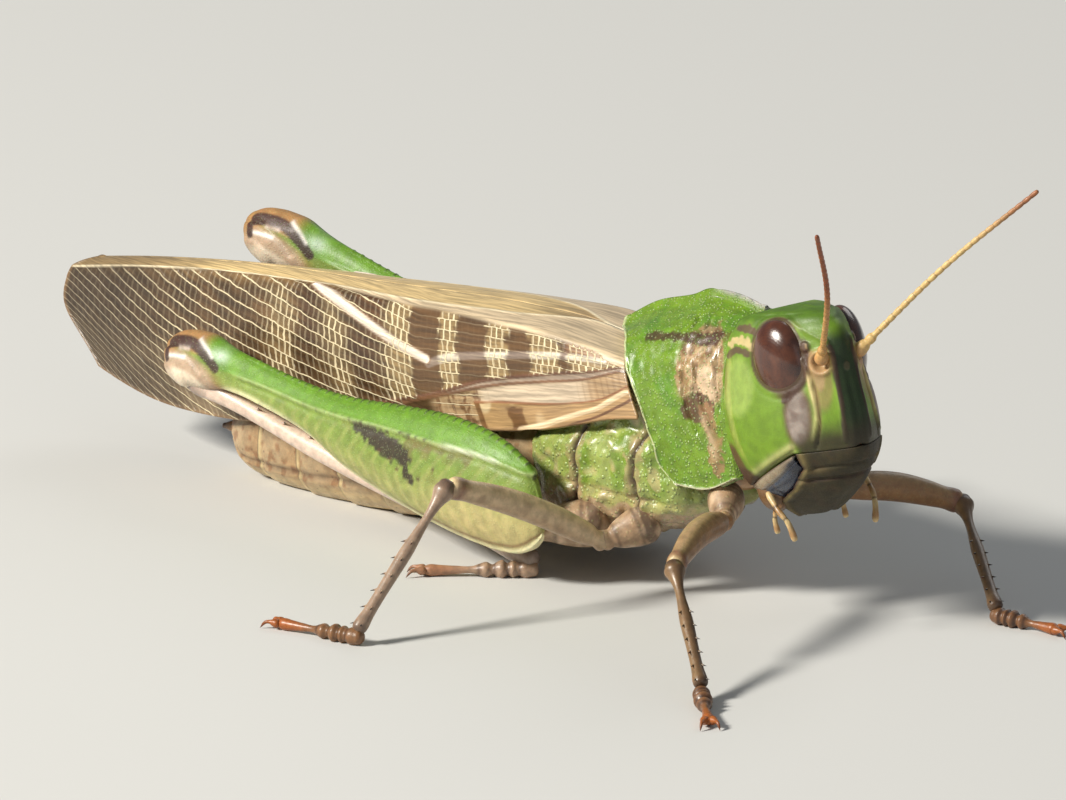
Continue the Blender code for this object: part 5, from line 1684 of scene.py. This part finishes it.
def hind_femur_relief(spots, run, ring):
    share, height, up = thigh_place(run, ring)
    carina = along(THIGH_CARINA, share)
    wave, face = thigh_bones(share, height)
    rise = 0.03 * face * (wave - 0.5) + 0.13 * hump(height, carina, 0.1) * ramp(0.88, 0.8, share)
    rise += 0.11 * hump(height, 0.12 - along(THIGH_BELOW, share), 0.12) * ramp(0.9, 0.84, share)
    teeth = 0.5 + 0.5 * ramp(0.3, 1, np.cos(share * THIGH_TEETH))
    rise += 0.1 * ramp(0.965, 1, up) * teeth * ramp(0.85, 0.8, share)
    rise -= 0.08 * hump(height, carina - 0.28, 0.12) * ramp(0.84, 0.8, share)
    axis = thigh_map(share, height)
    rise -= 0.14 * stroke(axis, 0.16, (29.6, 0.5, 0), (28.3, 0.95, 0), (26.9, 0.7, 0), (26.0, 0.2, 0))
    rise += 0.12 * blot(axis, (28.2, -0.8, 0), (1.2, 0.7, 1))
    return rise + 0.1 * hump(share, 0.94, 0.03) * ramp(0.2, 0.8, up)


class LOCUST_OT_legs(bpy.types.Operator):
    """Add the six legs with their spines, pads and claws"""

    bl_idname = "locust.legs"
    bl_label = "Legs"

    def hip(self, name, coxa, looks):
        piece(coxa, name + "_hip", looks["tan"], "tan_cuticle", name + "_coxa", paint=hip_tint)

    def shin(self, name, shape, looks, paint):
        piece(shape, name + "_shin", looks["pink"], "pink_cuticle", name + "_tibia", paint=paint)

    def foot(self, name, ankle, tip, looks, paint):
        shape = foot_shape(ankle, tip)
        piece(shape, name + "_foot", looks["russet"], "russet_foot", name + "_tarsus", paint=paint)

    def slim_leg(self, name, joints, femur_sizes, looks, dark, light):
        """A fore or middle leg: light 0 is an orange brown thigh and 1 a fawn one."""
        hip, base, knee, ankle, tip = (Vector(joint) for joint in joints)
        sizes = ((0, 1.15), (0.5, 0.95), (0.8, 0.66), (0.86, 0.56), (1, 0.6))
        coxa = limb(hip, base + (hip - base).normalized() * 0.2, sizes, 70, 40, flat=0.9)
        self.hip(name, coxa, looks)
        way = (knee - base).normalized()
        thigh = limb(base + way * 0.1, knee - way * 0.45, femur_sizes, 150, 44, bow=FEMUR_BOW, flat=0.85)
        piece(thigh, name + "_thigh", looks["fawn"], "fawn_leg", name + "_femur", paint=femur_tint(light))
        sizes = ((0, 0.5), (0.04, 0.6), (0.1, 0.42), (0.5, 0.38), (0.9, 0.36), (1, 0.42))
        tone = (0.20 + 0.23 * light, 0.115 + 0.18 * light, 0.05 + 0.15 * light)
        shin = limb(knee, ankle + (knee - ankle).normalized() * 0.1, sizes, 130, 32)
        shin = joined(shin, *spines(knee, ankle, 6, 0.4, 0.38, start=0.4))
        self.shin(name, shin, looks, shin_tint(tone, dark))
        self.foot(name, ankle, tip, looks, foot_tint(0.3 + dark, "tan", 1.0))

    def hind_leg(self, name, joints, side, looks):
        hip, base, knee, ankle, tip = (Vector(joint) for joint in joints)
        coxa = limb(hip, base, ((0, 1.35), (0.6, 1.2), (1, 0.9)), 60, 40)
        self.hip(name, coxa, looks)
        start = base + Vector((-0.7, side * 1.05, 0.3))
        ends = (THIGH_START, 0, 0, 0), (-0.055, 0.8, 0.5, 0.25), (1.06, 0.6, 0.55, 0.45), (THIGH_END, 0, 0, 0)
        sizes = [*ends[:2], *HIND_FEMUR, *ends[2:]]
        thigh = sheet(sweep(line_between(start, knee), sizes), 420, 110)
        piece(thigh, name + "_thigh", looks["thigh"], "green_thigh", name + "_femur",
              sculpt=hind_femur_relief, paint=hind_femur_tint)
        shin_start = knee + Vector((0.2, 0, -0.95))
        sizes = ((0, 0.75), (0.03, 0.85), (0.07, 0.7), (0.4, 0.62), (0.7, 0.55), (0.9, 0.52), (0.97, 0.62),
                 (1, 0.55))
        shin_end = ankle + (shin_start - ankle).normalized() * 0.2
        shin = limb(shin_start, shin_end, sizes, 260, 36, bow=(0, 0, -0.35))
        length = bpy.context.scene.locust_sizes.spine
        shin = joined(shin, *spines(shin_start, ankle, 11, length, 0.5, start=0.2))
        self.shin(name, shin, looks, shin_tint((0.62, 0.475, 0.38), 0.12))
        self.foot(name, ankle, tip, looks, foot_tint(0.2, (0.40, 0.27, 0.18), 0.5))

    def execute(self, context):
        looks = {
            "tan": cuticle("hip surface", mottle=0.5, mottle_scale=1.8, grains_and_glints=0.5, grain_scale=4.0,
                           gloss=0.42, coat=0.1),
            "fawn": cuticle("fawn leg surface", mottle=0.4, mottle_scale=2.0, grains_and_glints=0.25, grain_scale=5.0,
                            gloss=0.34, coat=0.25),
            "pink": cuticle("shin surface", mottle=0.35, mottle_scale=2.0, gloss=0.34, coat=0.3),
            "russet": cuticle("foot surface", mottle=0.4, mottle_scale=3.0, gloss=0.36, coat=0.25),
            "thigh": cuticle("green thigh surface", mottle=0.35, mottle_scale=1.5, grains_and_glints=0.4,
                             grain_scale=6.0, gloss=0.45, coat=0.05),
        }
        fore = ((0, 0.58), (0.04, 0.48), (0.08, 0.62), (0.2, 0.78), (0.45, 0.84), (0.8, 0.72), (0.92, 0.64),
                (1, 0.68))
        middle = ((0, 0.58), (0.04, 0.48), (0.08, 0.6), (0.2, 0.72), (0.45, 0.76), (0.8, 0.68),
                  (0.92, 0.62), (1, 0.66))
        for side, letter in SIDES.items():
            self.slim_leg("foreleg_" + letter, FORE[side], fore, looks, 0.45, 0.0)
            self.slim_leg("midleg_" + letter, MIDDLE[side], middle, looks, 0.35, 1.0)
            self.hind_leg("hindleg_" + letter, HIND[side], side, looks)
        return {"FINISHED"}


# ---- Stage ----


TARGET, LAMP_TARGET = (-18.73, 0, 8.33), (0, 0, 0.008)
VIEW_SIDE, VIEW_RISE, VIEW_DISTANCE, FOCAL = radians(43), radians(16), 900, 541.0


def aim(made, target):
    """Turns a lamp or camera to face a point."""
    made.rotation_euler = (Vector(target) - made.location).to_track_quat("-Z", "Y").to_euler()


def lamp(name, place, power, size, tone=(1, 1, 1)):
    light = bpy.data.lights.new(name, "AREA")
    light.energy, light.size, light.color = power, size, tone
    made = bpy.data.objects.new(name, light)
    made.location = place
    bpy.context.scene.collection.objects.link(made)
    aim(made, LAMP_TARGET)
    return made


class LOCUST_OT_stage(bpy.types.Operator):
    """Add the pale floor, the studio lights and the camera"""

    bl_idname = "locust.stage"
    bl_label = "Stage"

    def execute(self, context):
        size = context.scene.locust_sizes.floor
        shape = bmesh.new()
        bmesh.ops.create_grid(shape, x_segments=1, y_segments=1, size=size / 2, calc_uvs=False)
        mesh = bpy.data.meshes.new("floor")
        shape.to_mesh(mesh)
        shape.free()
        look = bpy.data.materials.new("pale floor")
        look.use_nodes = True
        shader = look.node_tree.nodes["Principled BSDF"]
        shader.inputs["Base Color"].default_value = (0.62, 0.615, 0.6, 1)
        shader.inputs["Roughness"].default_value = 0.9
        mesh.materials.append(look)
        floor = bpy.data.objects.new("floor", mesh)
        context.scene.collection.objects.link(floor)
        lamp("key", (-0.29, -0.6, 0.47), 10.5, 0.15, (1, 0.965, 0.88))
        lamp("fill", (0.6, -0.2, 0.25), 0.3, 0.5, (0.9, 0.95, 1))
        lamp("rim", (-0.1, 0.5, 0.4), 0.7, 0.35, (1, 0.99, 0.96))
        world = bpy.data.worlds.new("studio")
        world.use_nodes = True
        world.node_tree.nodes["Background"].inputs["Color"].default_value = (0.86, 0.93, 1, 1)
        world.node_tree.nodes["Background"].inputs["Strength"].default_value = 0.2
        context.scene.world = world
        context.scene.view_settings.view_transform = "Standard"
        camera = bpy.data.cameras.new("view")
        camera.lens, camera.sensor_width, camera.clip_start = FOCAL, 36, 0.01
        made = bpy.data.objects.new("view", camera)
        context.scene.collection.objects.link(made)
        back = Vector((sin(VIEW_SIDE) * cos(VIEW_RISE), -cos(VIEW_SIDE) * cos(VIEW_RISE), sin(VIEW_RISE)))
        made.location = ROW @ (Vector(TARGET) + back * VIEW_DISTANCE)
        aim(made, ROW @ Vector(TARGET))
        context.scene.camera = made
        return {"FINISHED"}


class LOCUST_PT_panel(bpy.types.Panel):
    """Sidebar list of the locust's pieces"""

    bl_label = "Migratory Locust"
    bl_space_type = "VIEW_3D"
    bl_region_type = "UI"
    bl_category = "Locust"

    def draw(self, context):
        for step in STEPS:
            self.layout.operator(step.bl_idname)
        for group in (context.scene.locust_sizes, context.scene.locust_colours):
            box = self.layout.box()
            for name in group.__annotations__:
                box.prop(group, name)


STEPS = (LOCUST_OT_head, LOCUST_OT_feelers, LOCUST_OT_trunk, LOCUST_OT_wings, LOCUST_OT_legs, LOCUST_OT_stage)
CLASSES = (LocustColours, LocustSizes, *STEPS, LOCUST_PT_panel)


def register():
    for item in CLASSES:
        bpy.utils.register_class(item)
    bpy.types.Scene.locust_colours = bpy.props.PointerProperty(type=LocustColours)
    bpy.types.Scene.locust_sizes = bpy.props.PointerProperty(type=LocustSizes)


def unregister():
    del bpy.types.Scene.locust_sizes
    del bpy.types.Scene.locust_colours
    for item in reversed(CLASSES):
        bpy.utils.unregister_class(item)


def main():
    register()
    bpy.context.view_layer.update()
    bpy.ops.locust.head()
    bpy.ops.locust.feelers()
    bpy.ops.locust.trunk()
    bpy.ops.locust.wings()
    bpy.ops.locust.legs()
    bpy.ops.locust.stage()


if __name__ == "__main__":
    main()
